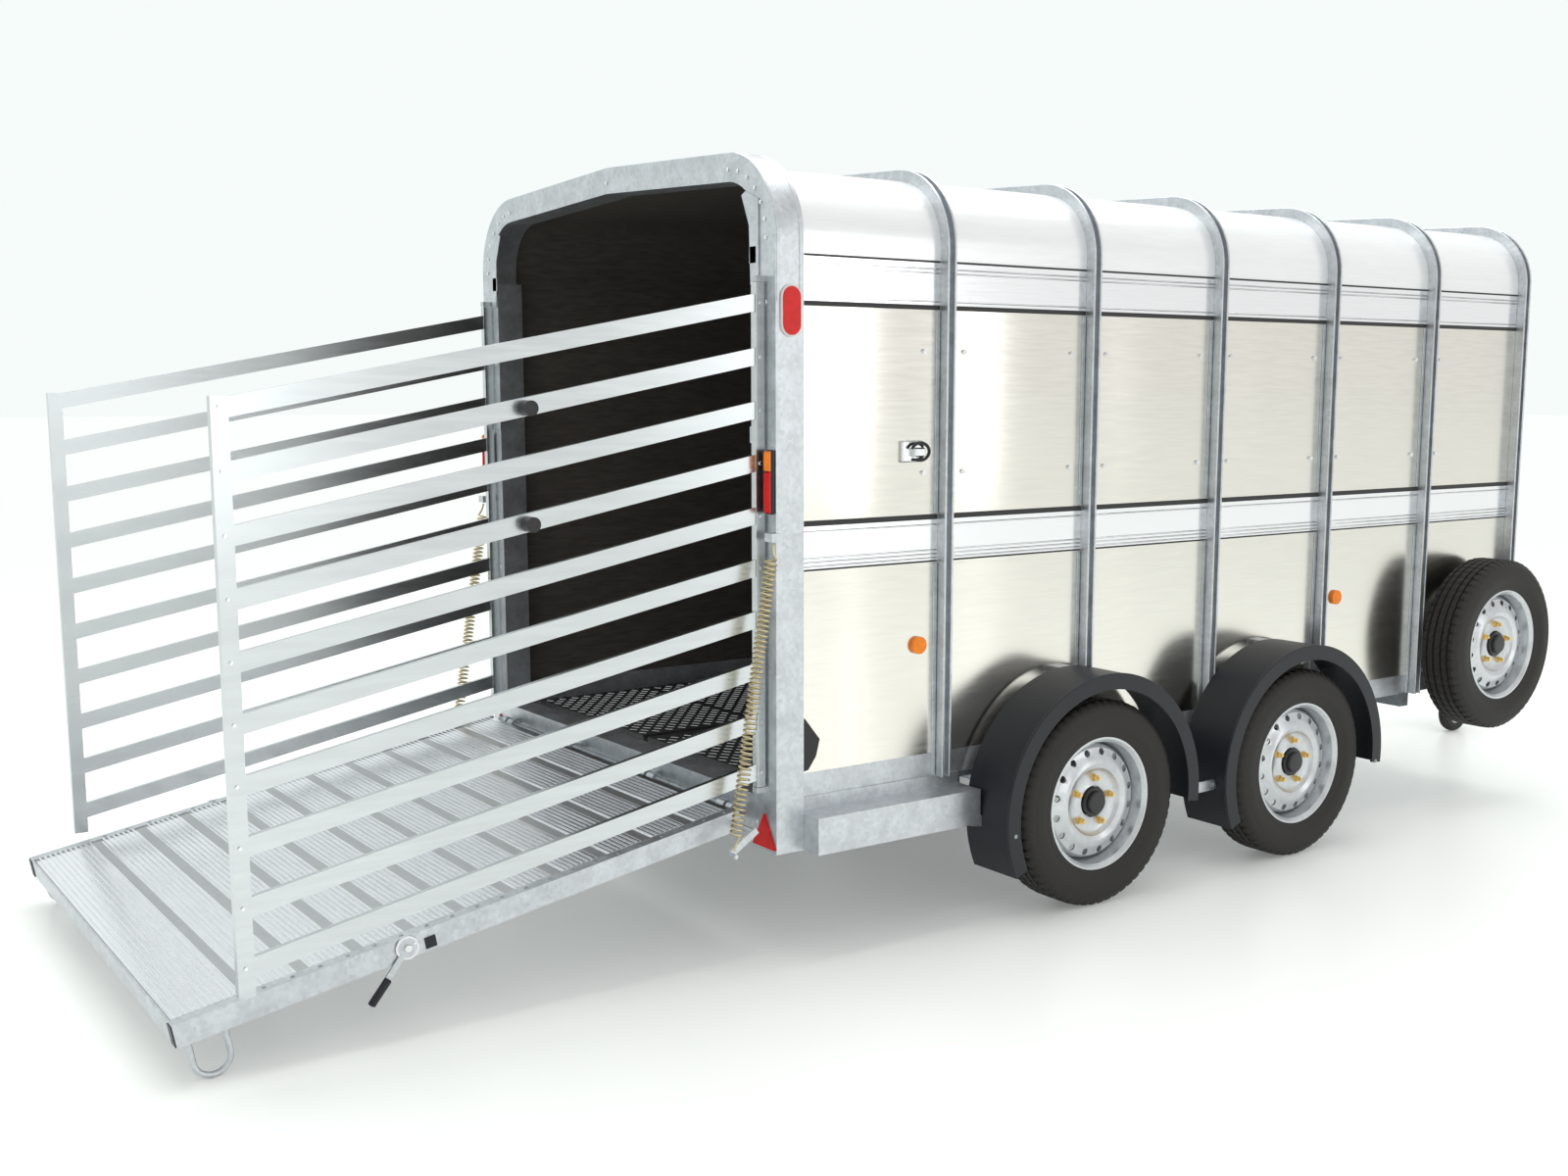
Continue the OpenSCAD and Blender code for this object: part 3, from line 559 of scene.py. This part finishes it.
# %% Seals, band ribs and hoop flats
bays = list(zip([body_x0] + [x + 0.019 for x in hoop_xs[:-1]], [x - 0.019 for x in hoop_xs]))
LEVELS = ((mid_high.z, 0.016), (mid_low.z + 0.002, 0.005), (eaves_low.z, 0.014), (eaves_high.z, 0.006))
for side_name, side in SIDES.items():
    seals, ribs, flats = Parts(), Parts(), Parts()
    y0, y1 = sorted((side * (skin_y + 0.0002), side * (skin_y + 0.0035)))
    for x0, x1 in bays:
        for z, tall in LEVELS:
            seals.bevel_box((x0 + 0.002, y0, z - tall / 2), (x1 - 0.002, y1, z + tall / 2), 0.001)
        for base, steps in ((mid_low.z, (0.010, 0.022, 0.034, 0.112)), (eaves_low.z, (0.016, 0.100, 0.112))):
            for dz in steps:
                ribs.bevel_box((x0 + 0.002, y0, base + dz), (x1 - 0.002, y1, base + dz + 0.004), 0.0012)
    for x in hoop_xs[:-1]:
        for e in (-1, 1):
            xa, xb = sorted((x + e * 0.020, x + e * 0.034))
            flats.bevel_box((xa, y0, sill_low.z), (xb, y1, mid_low.z - 0.004), 0.001)
            flats.bevel_box((xa, y0, mid_high.z + 0.010), (xb, y1, eaves_low.z - 0.009), 0.001)
    seals.make(f"side_seals_{side_name}", seal_rubber, "trailer", "buffer_rubber")
    ribs.make(f"band_ribs_{side_name}", rail_metal, "trailer", "extruded_aluminium")
    flats.make(f"hoop_flats_{side_name}", galvanised, "trailer", "galvanised")
print("bays", len(bays))

# %% [markdown]
# ** The dark inside.** A thin near-black sheet inside the hold is painted shade: it stands in for the
# shade inside the body, and it is what makes the doorway read as deep. It follows the inside of the
# body as one thin sheet, with a front sheet and a few bright joint strips at the hoops.

# %% Painted shade sheet inside the hold
inner = outline(floor_high.z + 0.001, lift=-0.0225)
section = [(0.0, 0.0), (0.0, 0.0015), (body_x1 - body_x0 - 0.03, 0.0015), (body_x1 - body_x0 - 0.03, 0.0)]
# Painted shade: this sheet and the front sheet carry the near-black finish in place of the shade in the hold.
shade_sheet_part = Parts()
shade_sheet_part.loft(bent_section(section, inner, body_x0 + 0.004))
shade_sheet_part.make("hold_shade_sheet", shade_sheet, "trailer", "coupling_paint", smooth=40)
front = Parts()
front_x = body_x1 - 0.027
ring = [p for p, o in inner]
front.loft([[p + Vector((front_x, 0, 0)) for p in ring], [p + Vector((front_x + 0.003, 0, 0)) for p in ring]])
front.make("front_shade_sheet", shade_sheet, "trailer", "coupling_paint", smooth=0)
strips = Parts()
for z in (mid_low.z + 0.02, mid_high.z - 0.02, eaves_low.z + 0.01, 1.60):
    strips.bevel_box((front_x - 0.006, -0.86, z), (front_x - 0.001, 0.86, z + 0.008), 0.001)
for y in (-0.035, 0.035):
    for z0, z1 in ((1.02, 1.12), (1.93, 2.03)):
        strips.bevel_box((front_x - 0.008, y - 0.006, z0), (front_x - 0.001, y + 0.006, z1), 0.001)
strips.make("shade_sheet_strips", dark_zinc, "trailer", "galvanised")
print("lining made")

# %% [markdown]
# **Ramp deck.** The deck is laid from extruded planks that run across the ramp. Each has
# a raised band of fine anti-slip ribs, and a duller strip covers the joint to the next.
# One section, drawn along the ramp and pushed across it, makes each plank.

# %% Ribbed planks
lift = math.radians(10.1)
along = Vector((-math.cos(lift), 0, -math.sin(lift)))
normal = Vector((-math.sin(lift), 0, math.cos(lift)))
ramp_top_lift = 0.024
deck_half = ramp_high.y - 0.0005
DECK_BASE, DECK_TOP = 0.0085, 0.0195
PLANKS, RIBS, RIB_PITCH, RIB_W, RIB_H = 10, 7, 0.0155, 0.0070, 0.0055
DECK_START, PLANKS_END, DECK_END = 0.031, 1.470, 1.658
NOSE_RIBS = 11


def plank_section(t0, t1, ribs, rib_pitch):
    """Points (along, up) of one plank with ribs about its middle."""
    middle = (t0 + t1) / 2
    points = [(t0 + 0.0012, DECK_BASE), (t0 + 0.0012, DECK_TOP - 0.003), (t0 + 0.004, DECK_TOP)]
    for k in range(ribs):
        c = middle + (k - (ribs - 1) / 2) * rib_pitch
        points += [(c - RIB_W / 2, DECK_TOP), (c - RIB_W / 2 + 0.001, DECK_TOP + RIB_H),
                   (c + RIB_W / 2 - 0.001, DECK_TOP + RIB_H), (c + RIB_W / 2, DECK_TOP)]
    return points + [(t1 - 0.004, DECK_TOP), (t1 - 0.0012, DECK_TOP - 0.003), (t1 - 0.0012, DECK_BASE)]


def across_ramp(sect):
    """The two end rings of a section pushed across the ramp."""
    return [[hinge + along * t + normal * n + Vector((0, y, 0)) for t, n in sect]
            for y in (-deck_half, deck_half)]


deck, strips_part, rivets = Parts(), Parts(), Parts()
pitch = (PLANKS_END - DECK_START) / PLANKS
for k in range(PLANKS):
    t0, t1 = DECK_START + k * pitch, DECK_START + (k + 1) * pitch
    deck.loft(across_ramp(plank_section(t0, t1, RIBS, RIB_PITCH)))
    strips_part.loft(across_ramp([(t1 - 0.016, DECK_TOP), (t1 - 0.014, DECK_TOP + 0.0012),
                                  (t1 + 0.014, DECK_TOP + 0.0012), (t1 + 0.016, DECK_TOP)]))
    for e in (0.25, 0.75):
        for side in (NEAR, FAR):
            at = hinge + along * (DECK_START + (k + e) * pitch) + normal * (ramp_top_lift - 0.001)
            rivets.rod(at + Vector((0, side * (deck_half + 0.020), 0)), normal, 0.003, 0.0055, 12)
deck.loft(across_ramp(plank_section(PLANKS_END, DECK_END, NOSE_RIBS, RIB_PITCH)))
plugs = Parts()
for side in (NEAR, FAR):
    for t0, t1, n0, n1, y0, y1 in ((1.6652, 1.6680, -0.033, 0.021, 0.829, 0.864),
                                   (0.993, 1.023, -0.028, 0.002, 0.8662, 0.8690)):
        plugs.loft([[hinge + along * t + normal * n + Vector((0, side * y, 0))
                     for t, n in ((t0, n0), (t1, n0), (t1, n1), (t0, n1))] for y in (y0, y1)])
plugs.make("ramp_plugs", black_plastic, "ramp", "black_plastic", smooth=0)
deck.make("ribbed_planks", deck_metal, "ramp", "extruded_aluminium", smooth=0, replaces=["ramp_deck"])
strips_part.make("plank_joints", dull_deck, "ramp", "extruded_aluminium", smooth=0)
rivets.make("ramp_edge_bolts", dark_zinc, "ramp", "galvanised", smooth=30)
print("planks", PLANKS, "and a ribbed nose")

# %% [markdown]
# **Floor mats.** Black mats with an open diamond pattern lie behind the door. The diamonds
# that show the bright floor are modelled as small low lozenges set in rows, each row
# shifted by half a step.

# %% Diamond mats
mat_low, mat_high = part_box("floor_mats")
diamonds = Parts()
STEP_X, STEP_Y, HALF_X, HALF_Y = 0.052, 0.064, 0.017, 0.025
rows = int((mat_high.x - mat_low.x) / STEP_X)
cols = int((mat_high.y - mat_low.y) / STEP_Y)
for i in range(rows * 2):
    for j in range(cols):
        x = mat_low.x + STEP_X * (0.5 + i / 2)
        y = mat_low.y + STEP_Y * (0.5 + j + (i % 2) / 2)
        strip = abs(((x - mat_low.x) % 0.46) - 0.23) > 0.215
        if x > mat_high.x - HALF_X or y > mat_high.y - HALF_Y or abs(y) < 0.045 or strip:
            continue
        rings = [[(x - HALF_X * s, y, z), (x, y - HALF_Y * s, z), (x + HALF_X * s, y, z), (x, y + HALF_Y * s, z)]
                 for z, s in ((mat_high.z - 0.002, 1), (mat_high.z + 0.0008, 0.94))]
        diamonds.loft(rings)
diamonds.make("mat_diamonds", extruded, "trailer", "extruded_aluminium", smooth=0)
print("diamonds", len(diamonds.faces) // 6)

# %% [markdown]
# ** Lift springs.** A long coil on each side carries the ramp's weight. A wire circle swept
# round a helix gives the coil, and its ends run into hooks.

# %% Coil springs
COILS, COIL_R, WIRE_R = 54, 0.0165, 0.0034
WIRE_SIDES = 8
TURN_STEPS = 18


def tube(path, radius, sides):
    """Rings of a round wire along a path, kept from twisting."""
    rings = []
    side_way = None
    for i, p in enumerate(path):
        t = (path[min(i + 1, len(path) - 1)] - path[max(i - 1, 0)]).normalized()
        side_way = t.orthogonal() if side_way is None else side_way - t * side_way.dot(t)
        side_way.normalize()
        up = t.cross(side_way)
        rings.append([p + (side_way * math.cos(a) + up * math.sin(a)) * radius
                      for a in (2 * math.pi * k / sides for k in range(sides))])
    return rings


def lift_spring(side_name, side):
    low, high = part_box(f"ramp_spring_{side_name}")
    y = (low.y + high.y) / 2
    bottom = Vector((low.x + 0.012, y, low.z + 0.004))
    top = Vector((high.x - 0.012, y, high.z - 0.002))
    line = top - bottom
    reach, axis = line.length, line.normalized()
    u = Vector((0, side, 0))
    v = axis.cross(u)
    start, stop = 0.045, reach - 0.045
    path = [bottom + u * 0.002, bottom + axis * 0.02 + v * 0.004, bottom + axis * 0.035 + v * 0.010]
    total = COILS * TURN_STEPS
    for k in range(total + 1):
        a = 2 * math.pi * k / TURN_STEPS
        path.append(bottom + axis * (start + (stop - start) * k / total)
                    + (u * math.sin(a) + v * math.cos(a)) * COIL_R)
    path += [top - axis * 0.035 + v * 0.010, top - axis * 0.02 + v * 0.004, top + u * 0.002]
    part = Parts()
    part.loft(tube(path, WIRE_R, WIRE_SIDES))
    obj = part.make(f"lift_spring_{side_name}", spring_zinc, "trailer", "spring_steel",
                    smooth=80, replaces=[f"ramp_spring_{side_name}"])
    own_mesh(obj)


for side_name, side in SIDES.items():
    lift_spring(side_name, side)

# %% [markdown]
# **Lamps.** Each tail lamp is a black base with an amber and a red lens over it. The lenses
# have a crowned face and fine upright flutes that catch the light.

# %% Tail lamps
lamp_low, lamp_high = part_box("tail_lamps")


def lens(part, x, y0, y1, z0, z1, crown=0.012, flutes=9):
    """A fluted lens that bulges towards -X from a base at x."""
    rings = []
    for k in range(flutes * 2 + 1):
        s = k / (flutes * 2)
        y = y0 + (y1 - y0) * s
        bulge = crown * math.sin(math.pi * min(max(s, 0.06), 0.94)) ** 0.5 - (0.0012 if k % 2 else 0)
        rings.append([(x, y, z0), (x - bulge, y, z0 + 0.003), (x - bulge - 0.001, y, (z0 + z1) / 2),
                      (x - bulge, y, z1 - 0.003), (x, y, z1)])
    part.loft(rings)


bases, reds, ambers = Parts(), Parts(), Parts()
for side in (NEAR, FAR):
    y0, y1 = sorted((side * lamp_high.y, side * (lamp_high.y - 0.031)))
    bases.bevel_box((lamp_low.x + 0.014, y0, lamp_low.z), (lamp_high.x, y1, lamp_high.z), 0.003)
    third = (lamp_high.z - lamp_low.z) / 3
    lens(ambers, lamp_low.x + 0.0142, y0 + 0.002, y1 - 0.002, lamp_high.z - third, lamp_high.z - 0.003)
    lens(reds, lamp_low.x + 0.0142, y0 + 0.002, y1 - 0.002, lamp_low.z + 0.003, lamp_high.z - third - 0.001)
bases.make("lamp_bases", black_plastic, "trailer", "black_plastic", replaces=["tail_lamps"])
reds.make("lamp_lenses_red", red_lens, "trailer", "lamp_red")
ambers.make("lamp_lenses_amber", amber_lens, "trailer", "lamp_amber")
print("lamps made")

# %% [markdown]
# **Small metalwork.** A slam latch on the side sheet, rivets at every rail end, black grips
# on the ramp levers, and bolts along the arch finish the frame.

# %% Latch, grips and rivets
latch, latch_ring = Parts(), Parts()
latch_x, latch_z = door_x + 0.497, 1.477
y_face = -(skin_y + 0.0005)
latch.bevel_box((latch_x - 0.055, y_face - 0.012, latch_z - 0.032),
                (latch_x + 0.030, y_face, latch_z + 0.032), 0.004)
latch.bevel_box((latch_x - 0.020, y_face - 0.030, latch_z - 0.016),
                (latch_x + 0.022, y_face - 0.010, latch_z + 0.012), 0.004)
latch.make("side_latch", polished, "trailer", "galvanised")
loop = [Vector((latch_x + 0.004 + 0.034 * math.cos(a), y_face - 0.024, latch_z + 0.026 * math.sin(a)))
        for a in (math.pi * (-0.62 + 1.5 * k / 24) for k in range(25))]
latch_ring.loft(tube(loop, 0.005, 10))
latch_ring.make("latch_ring", black_plastic, "trailer", "black_plastic", smooth=80)

for side_name, side in SIDES.items():
    gate_low, gate_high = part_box(f"gate_rails_{side_name}")
    post_low, post_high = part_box(f"gate_posts_{side_name}")
    face_y = side * max(abs(post_low.y), abs(post_high.y))
    studs = Parts()
    fall = math.tan(math.radians(10.9))
    for k in range(10):
        z = gate_high.z - 0.149 * k - 0.024
        for x, dz in ((post_high.x - 0.014, 0.0), (post_low.x + 0.020, (gate_high.x - gate_low.x) * fall)):
            studs.rod((x, face_y, z - dz), (0, side, 0), 0.004, 0.0055, 12)
    studs.make(f"rail_rivets_{side_name}", polished, f"gate_{side_name}", "extruded_aluminium", smooth=30)
    lever = joints[f"ramp_lever_{side_name}_turn"]["pos_m"]
    low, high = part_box(f"ramp_lever_{side_name}")
    tip = Vector((low.x + 0.006, (low.y + high.y) / 2 + side * 0.001, low.z + 0.008))
    start = Vector((lever[0], tip.y, lever[2]))
    way = (tip - start).normalized()
    hub = Parts()
    hub_y = side * min(abs(low.y), abs(high.y))
    hub.rod((lever[0], hub_y, lever[2]), (0, side, 0), 0.0055, 0.032, 36, 0.001)
    hub.rod((lever[0], hub_y, lever[2]), (0, side, 0), 0.012, 0.011, 6, 0.001)
    hub.rod((lever[0] + 0.019, hub_y, lever[2] + 0.009), (0, side, 0), 0.009, 0.005, 16, 0.001)
    hub.make(f"lever_hub_{side_name}", polished, f"ramp_lever_{side_name}", "galvanised", smooth=30)
    grip = Parts()
    grip.rod(tip - way * 0.076, way, 0.078, 0.0105, 20, 0.003)
    grip.make(f"lever_grip_{side_name}", black_plastic, f"ramp_lever_{side_name}", "black_plastic", smooth=30)
bolts = Parts()
for p, o in outline(eaves_low.z, lift=-0.012, arcs=6)[::1]:
    bolts.rod(p + Vector((frame_back, 0, 0)), (-1, 0, 0), 0.004, 0.006, 12)
for side in (NEAR, FAR):
    for z in (0.40, 0.70, 1.00, 1.55, 1.75):
        bolts.rod((frame_back, side * 0.868, z), (-1, 0, 0), 0.004, 0.006, 12)
bolts.make("frame_bolts", polished, "trailer", "galvanised", smooth=30)
print("small metalwork made")

# %% [markdown]
# **Corner details.** Plates that are cut to an outline share one helper: it takes the
# outline in two directions and gives it a thickness along the third.

# %% Flap, gussets and brackets


def plate(part, outline_xz, y0, y1):
    """An upright plate with its outline in X and Z, from y0 to y1."""
    part.loft([[(x, y0, z) for x, z in outline_xz], [(x, y1, z) for x, z in outline_xz]])


def cross_plate(part, outline_yz, x0, x1):
    """An upright plate with its outline in Y and Z, from x0 to x1."""
    part.loft([[(x0, y, z) for y, z in outline_yz], [(x1, y, z) for y, z in outline_yz]])


def round_end(cx, cz, r, a0, a1, steps=10):
    return [(cx + r * math.cos(a), cz + r * math.sin(a))
            for a in (math.radians(a0 + (a1 - a0) * k / steps) for k in range(steps + 1))]


for side_name, side in SIDES.items():
    flap, steel, dark = Parts(), Parts(), Parts()
    face = side * (skin_y + 0.0045)
    plate(flap, [(door_x + dx, z) for dx, z in ((0.068, 0.545), (0.068, 0.716), (0.088, 0.706), (0.141, 0.640),
                                                (0.128, 0.590), (0.100, 0.552))], face, face + side * 0.006)
    flap.make(f"corner_flap_{side_name}", seal_rubber, "trailer", "buffer_rubber", smooth=0)
    cross_plate(steel, [(side * y, z) for y, z in ((0.845, 1.955), (0.885, 1.955), (0.885, 2.190), (0.820, 2.215),
                                                  (0.800, 2.205), (0.838, 2.120))], frame_back - 0.0004, frame_back - 0.0045)
    for z in (2.037, 1.533):
        steel.bevel_box((frame_back - 0.0045, min(side * 0.838, side * 0.874), z - 0.024),
                        (frame_back - 0.0004, max(side * 0.838, side * 0.874), z + 0.024), 0.001)
    step_low, step_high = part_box(f"side_step_{side_name}")
    outer = side * max(abs(step_low.y), abs(step_high.y))
    plate(steel, [(step_high.x - 0.030, step_low.z + 0.050), (step_high.x - 0.030, step_low.z - 0.004)]
          + round_end(step_high.x + 0.010, step_low.z + 0.006, 0.016, -110, 80) , outer - side * 0.006, outer - side * 0.001)
    plate(steel, [(step_high.x - 0.001, step_low.z), (step_high.x + 0.002, step_low.z),
                  (step_high.x + 0.002, step_high.z), (step_high.x - 0.001, step_high.z)],
          outer, side * (skin_y + 0.002))
    steel.bevel_box((step_low.x, min(side * (skin_y + 0.0005), side * (skin_y + 0.004)), step_high.z - 0.001),
                    (step_high.x, max(side * (skin_y + 0.0005), side * (skin_y + 0.004)), sill_low.z + 0.004), 0.001)
    rim = Parts()
    rim_x, rim_z, rim_r, rim_half = door_x + 0.020, 1.880, 0.0345, 0.038
    rim_face = side * (skin_y + 0.0352)
    plate(rim, round_end(rim_x, rim_z + rim_half, rim_r, 0, 180) + round_end(rim_x, rim_z - rim_half, rim_r, 180, 360),
          rim_face, rim_face + side * 0.006)
    rim.make(f"reflector_rim_{side_name}", pale_plastic, "trailer", "lamp_red", smooth=30)
    guard_low, guard_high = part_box(f"mudguards_{side_name}")
    gap_x = (guard_low.x + guard_high.x) / 2
    y_out = side * (max(abs(guard_low.y), abs(guard_high.y)) - 0.055)
    bar = ([(gap_x - 0.055, 0.300)] + round_end(gap_x + 0.060, 0.318, 0.018, -90, 90) + [(gap_x - 0.055, 0.336)])
    plate(steel, bar, y_out, y_out + side * 0.005)
    for dx in (-0.030, 0.060):
        dark.rod((gap_x + dx, y_out + side * 0.0045, 0.318), (0, side, 0), 0.008, 0.008, 6, 0.001)
    for x0 in (guard_low.x, guard_high.x):
        inward = 0.030 if x0 == guard_low.x else -0.030
        dark.rod((x0 + inward, y_out + side * 0.0445, 0.300), (0, side, 0), 0.012, 0.007, 16)
    steel.make(f"corner_steel_{side_name}", galvanised, "trailer", "galvanised", smooth=35)
    dark.make(f"guard_bolts_{side_name}", dark_zinc, "trailer", "galvanised", smooth=30)
    beads = Parts()
    for centre in ("rear", "front"):
        low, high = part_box(f"tyre_{centre}_{side_name}")
        cx, cz = (low.x + high.x) / 2, (low.z + high.z) / 2
        y_edge = side * (max(abs(guard_low.y), abs(guard_high.y)) - 0.0055)
        arc = [Vector((cx + 0.4255 * math.cos(a), y_edge, cz + 0.4255 * math.sin(a)))
               for a in (math.radians(-5.5 + 209 * k / 48) for k in range(49))]
        beads.loft(tube(arc, 0.0052, 12))
    beads.make(f"guard_beads_{side_name}", black_plastic, "trailer", "black_plastic", smooth=60)
print("corner details made")

# %% [markdown]
# ** Running gear.** The leaf springs get their stack of leaves and clamps, and the
# jockey wheel gets a turned tyre and a hub.

# %% Leaf springs and jockey wheel
springs_low, springs_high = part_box("leaf_springs")
leaves, clamps = Parts(), Parts()
LEAF_COUNT, LEAF_THICK, LEAF_ARC = 4, 0.0058, 0.900
for side_name, side in SIDES.items():
    y_mid = side * (max(abs(springs_low.y), abs(springs_high.y)) - 0.025)
    for axle in ("rear", "front"):
        low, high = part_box(f"tyre_{axle}_{side_name}")
        cx = (low.x + high.x) / 2
        for k in range(LEAF_COUNT):
            reach = 0.328 - 0.075 * k
            r0 = LEAF_ARC + 0.0004 + k * (LEAF_THICK + 0.0002)
            rings = []
            for i in range(25):
                a = math.asin(reach / LEAF_ARC) * (2 * i / 24 - 1)
                rings.append([(cx + math.sin(a) * r, y_mid + dy, springs_low.z + LEAF_ARC + 0.024 - math.cos(a) * r)
                              for r, dy in ((r0, -0.025), (r0 + LEAF_THICK, -0.025),
                                            (r0 + LEAF_THICK, 0.025), (r0, 0.025))])
            leaves.loft(rings)
        for dx in (-0.030, 0.030):
            clamps.bevel_box((cx + dx - 0.006, y_mid - 0.031, springs_low.z - 0.004),
                             (cx + dx + 0.006, y_mid + 0.031, springs_low.z + 0.004), 0.001)
leaves.make("stacked_leaves", black_paint, "trailer", "spring_steel", replaces=["leaf_springs"])
clamps.make("spring_clamps", dark_zinc, "trailer", "galvanised")
jockey_low, jockey_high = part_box("jockey_wheel")
jockey_mid = (jockey_low + jockey_high) / 2
jockey_r, jockey_half = (jockey_high.z - jockey_low.z) / 2, (jockey_high.y - jockey_low.y) / 2
ROLLER = [(0.60, -0.86), (0.74, -1.0), (0.86, -0.98), (0.96, -0.72), (1.0, -0.36), (1.0, -0.10), (0.97, -0.06),
          (0.97, 0.06), (1.0, 0.10), (1.0, 0.36), (0.96, 0.72), (0.86, 0.98), (0.74, 1.0), (0.60, 0.86)]
roller, core = Parts(), Parts()
roller.loft(turned([(r * jockey_r, w * jockey_half) for r, w in ROLLER], jockey_mid, 1, 64), closed=True)
roller.make("jockey_tyre", tyre_rubber, "jockey_wheel", "tyre_rubber", smooth=30, replaces=["jockey_wheel"])
CORE = [(0.092, -0.9), (0.14, -1.0), (0.24, -1.0), (0.27, -0.35), (0.50, -0.30), (0.56, -0.82), (0.615, -0.84),
        (0.615, 0.84), (0.56, 0.82), (0.50, 0.30), (0.27, 0.35), (0.24, 1.0), (0.14, 1.0), (0.092, 0.9)]
core.loft(turned([(r * jockey_r, w * jockey_half) for r, w in CORE], jockey_mid, 1, 48), closed=True)
core.make("jockey_core", wheel_paint, "jockey_wheel", "wheel_paint", smooth=30)
print("running gear made")

# %% [markdown]
# **Studio.** Polished sheet shows what it mirrors, so the room matters more than the lamps.
# The room is bright overhead and behind the trailer, and a little softer on the open side,
# where its tone drifts slowly from white to pale grey. That drift gives the sheets their tone.

# %% Floor and room
scene = bpy.context.scene
scene.view_settings.view_transform = "Standard"
floor_mat = finish("studio floor", (0.88, 0.89, 0.87), 0.0, 0.34, 0.05, scale=0.8, vary=0.01, bump=0.0,
                   Emission_Color=(0.97, 1.0, 0.98, 1), Emission_Strength=0.16)
FLOOR_HALF, FLOOR_Z = 90.0, -0.0005
floor = bpy.data.meshes.new("studio_floor")
floor.from_pydata([(x, y, FLOOR_Z) for x, y in ((-FLOOR_HALF, -FLOOR_HALF), (FLOOR_HALF, -FLOOR_HALF),
                                                (FLOOR_HALF, FLOOR_HALF), (-FLOOR_HALF, FLOOR_HALF))],
                  [], [[0, 1, 2, 3]])
floor.materials.append(floor_mat)
floor_obj = bpy.data.objects.new("studio_floor", floor)
scene.collection.objects.link(floor_obj)

ROOM_STRENGTH, DRIFT_SCALE = 0.95, 3.0
OPEN_FROM, OPEN_TO = -0.35, 0.05
PALE_GREY, WARM_WHITE, BRIGHT_SIDE = (0.66, 0.66, 0.65, 1), (1.0, 1.0, 0.985, 1), (0.97, 1.02, 1.005, 1)
world = scene.world or bpy.data.worlds.new("studio")
scene.world = world
world.use_nodes = True
tree = world.node_tree
background = tree.nodes["Background"]
background.inputs["Strength"].default_value = ROOM_STRENGTH
ways = tree.nodes.new("ShaderNodeTexCoord")
split = tree.nodes.new("ShaderNodeSeparateXYZ")
open_side = tree.nodes.new("ShaderNodeMapRange")
open_side.inputs["From Min"].default_value = OPEN_FROM
open_side.inputs["From Max"].default_value = OPEN_TO
stretch = tree.nodes.new("ShaderNodeMapping")
stretch.inputs["Scale"].default_value = (1, 1, 0.18)
drift = tree.nodes.new("ShaderNodeTexNoise")
drift.inputs["Scale"].default_value = DRIFT_SCALE
drift.inputs["Detail"].default_value = 0.0
tones = tree.nodes.new("ShaderNodeValToRGB")
tones.color_ramp.elements[0].position = 0.25
tones.color_ramp.elements[0].color = PALE_GREY
tones.color_ramp.elements[1].position = 0.75
tones.color_ramp.elements[1].color = WARM_WHITE
mix = tree.nodes.new("ShaderNodeMix")
mix.data_type = "RGBA"
mix.inputs["B"].default_value = BRIGHT_SIDE
link = tree.links.new
link(ways.outputs["Generated"], split.inputs["Vector"])
link(split.outputs["Y"], open_side.inputs["Value"])
link(ways.outputs["Generated"], stretch.inputs["Vector"])
link(stretch.outputs["Vector"], drift.inputs["Vector"])
link(drift.outputs["Fac"], tones.inputs["Fac"])
link(open_side.outputs["Result"], mix.inputs["Factor"])
link(tones.outputs["Color"], mix.inputs["A"])
link(mix.outputs["Result"], background.inputs["Color"])
print("room ready")

# %% Lights


def soft_light(name, place, target, size, power):
    data = bpy.data.lights.new(name, "AREA")
    data.shape, data.size, data.size_y, data.energy = "RECTANGLE", size[0], size[1], power
    lamp = bpy.data.objects.new(name, data)
    lamp.location = place
    lamp.rotation_euler = (Vector(target) - Vector(place)).to_track_quat("-Z", "Y").to_euler()
    scene.collection.objects.link(lamp)


soft_light("overhead", (0, 0.5, 6.5), (0, 0, 0), (9, 4), 260)
soft_light("side_left", (-1.2, -8.5, 2.6), (-0.5, 0, 1), (1.2, 4), 32)
soft_light("side_right", (4.2, -9.0, 2.6), (1.0, 0, 1), (1.4, 4), 34)
print("studio ready")
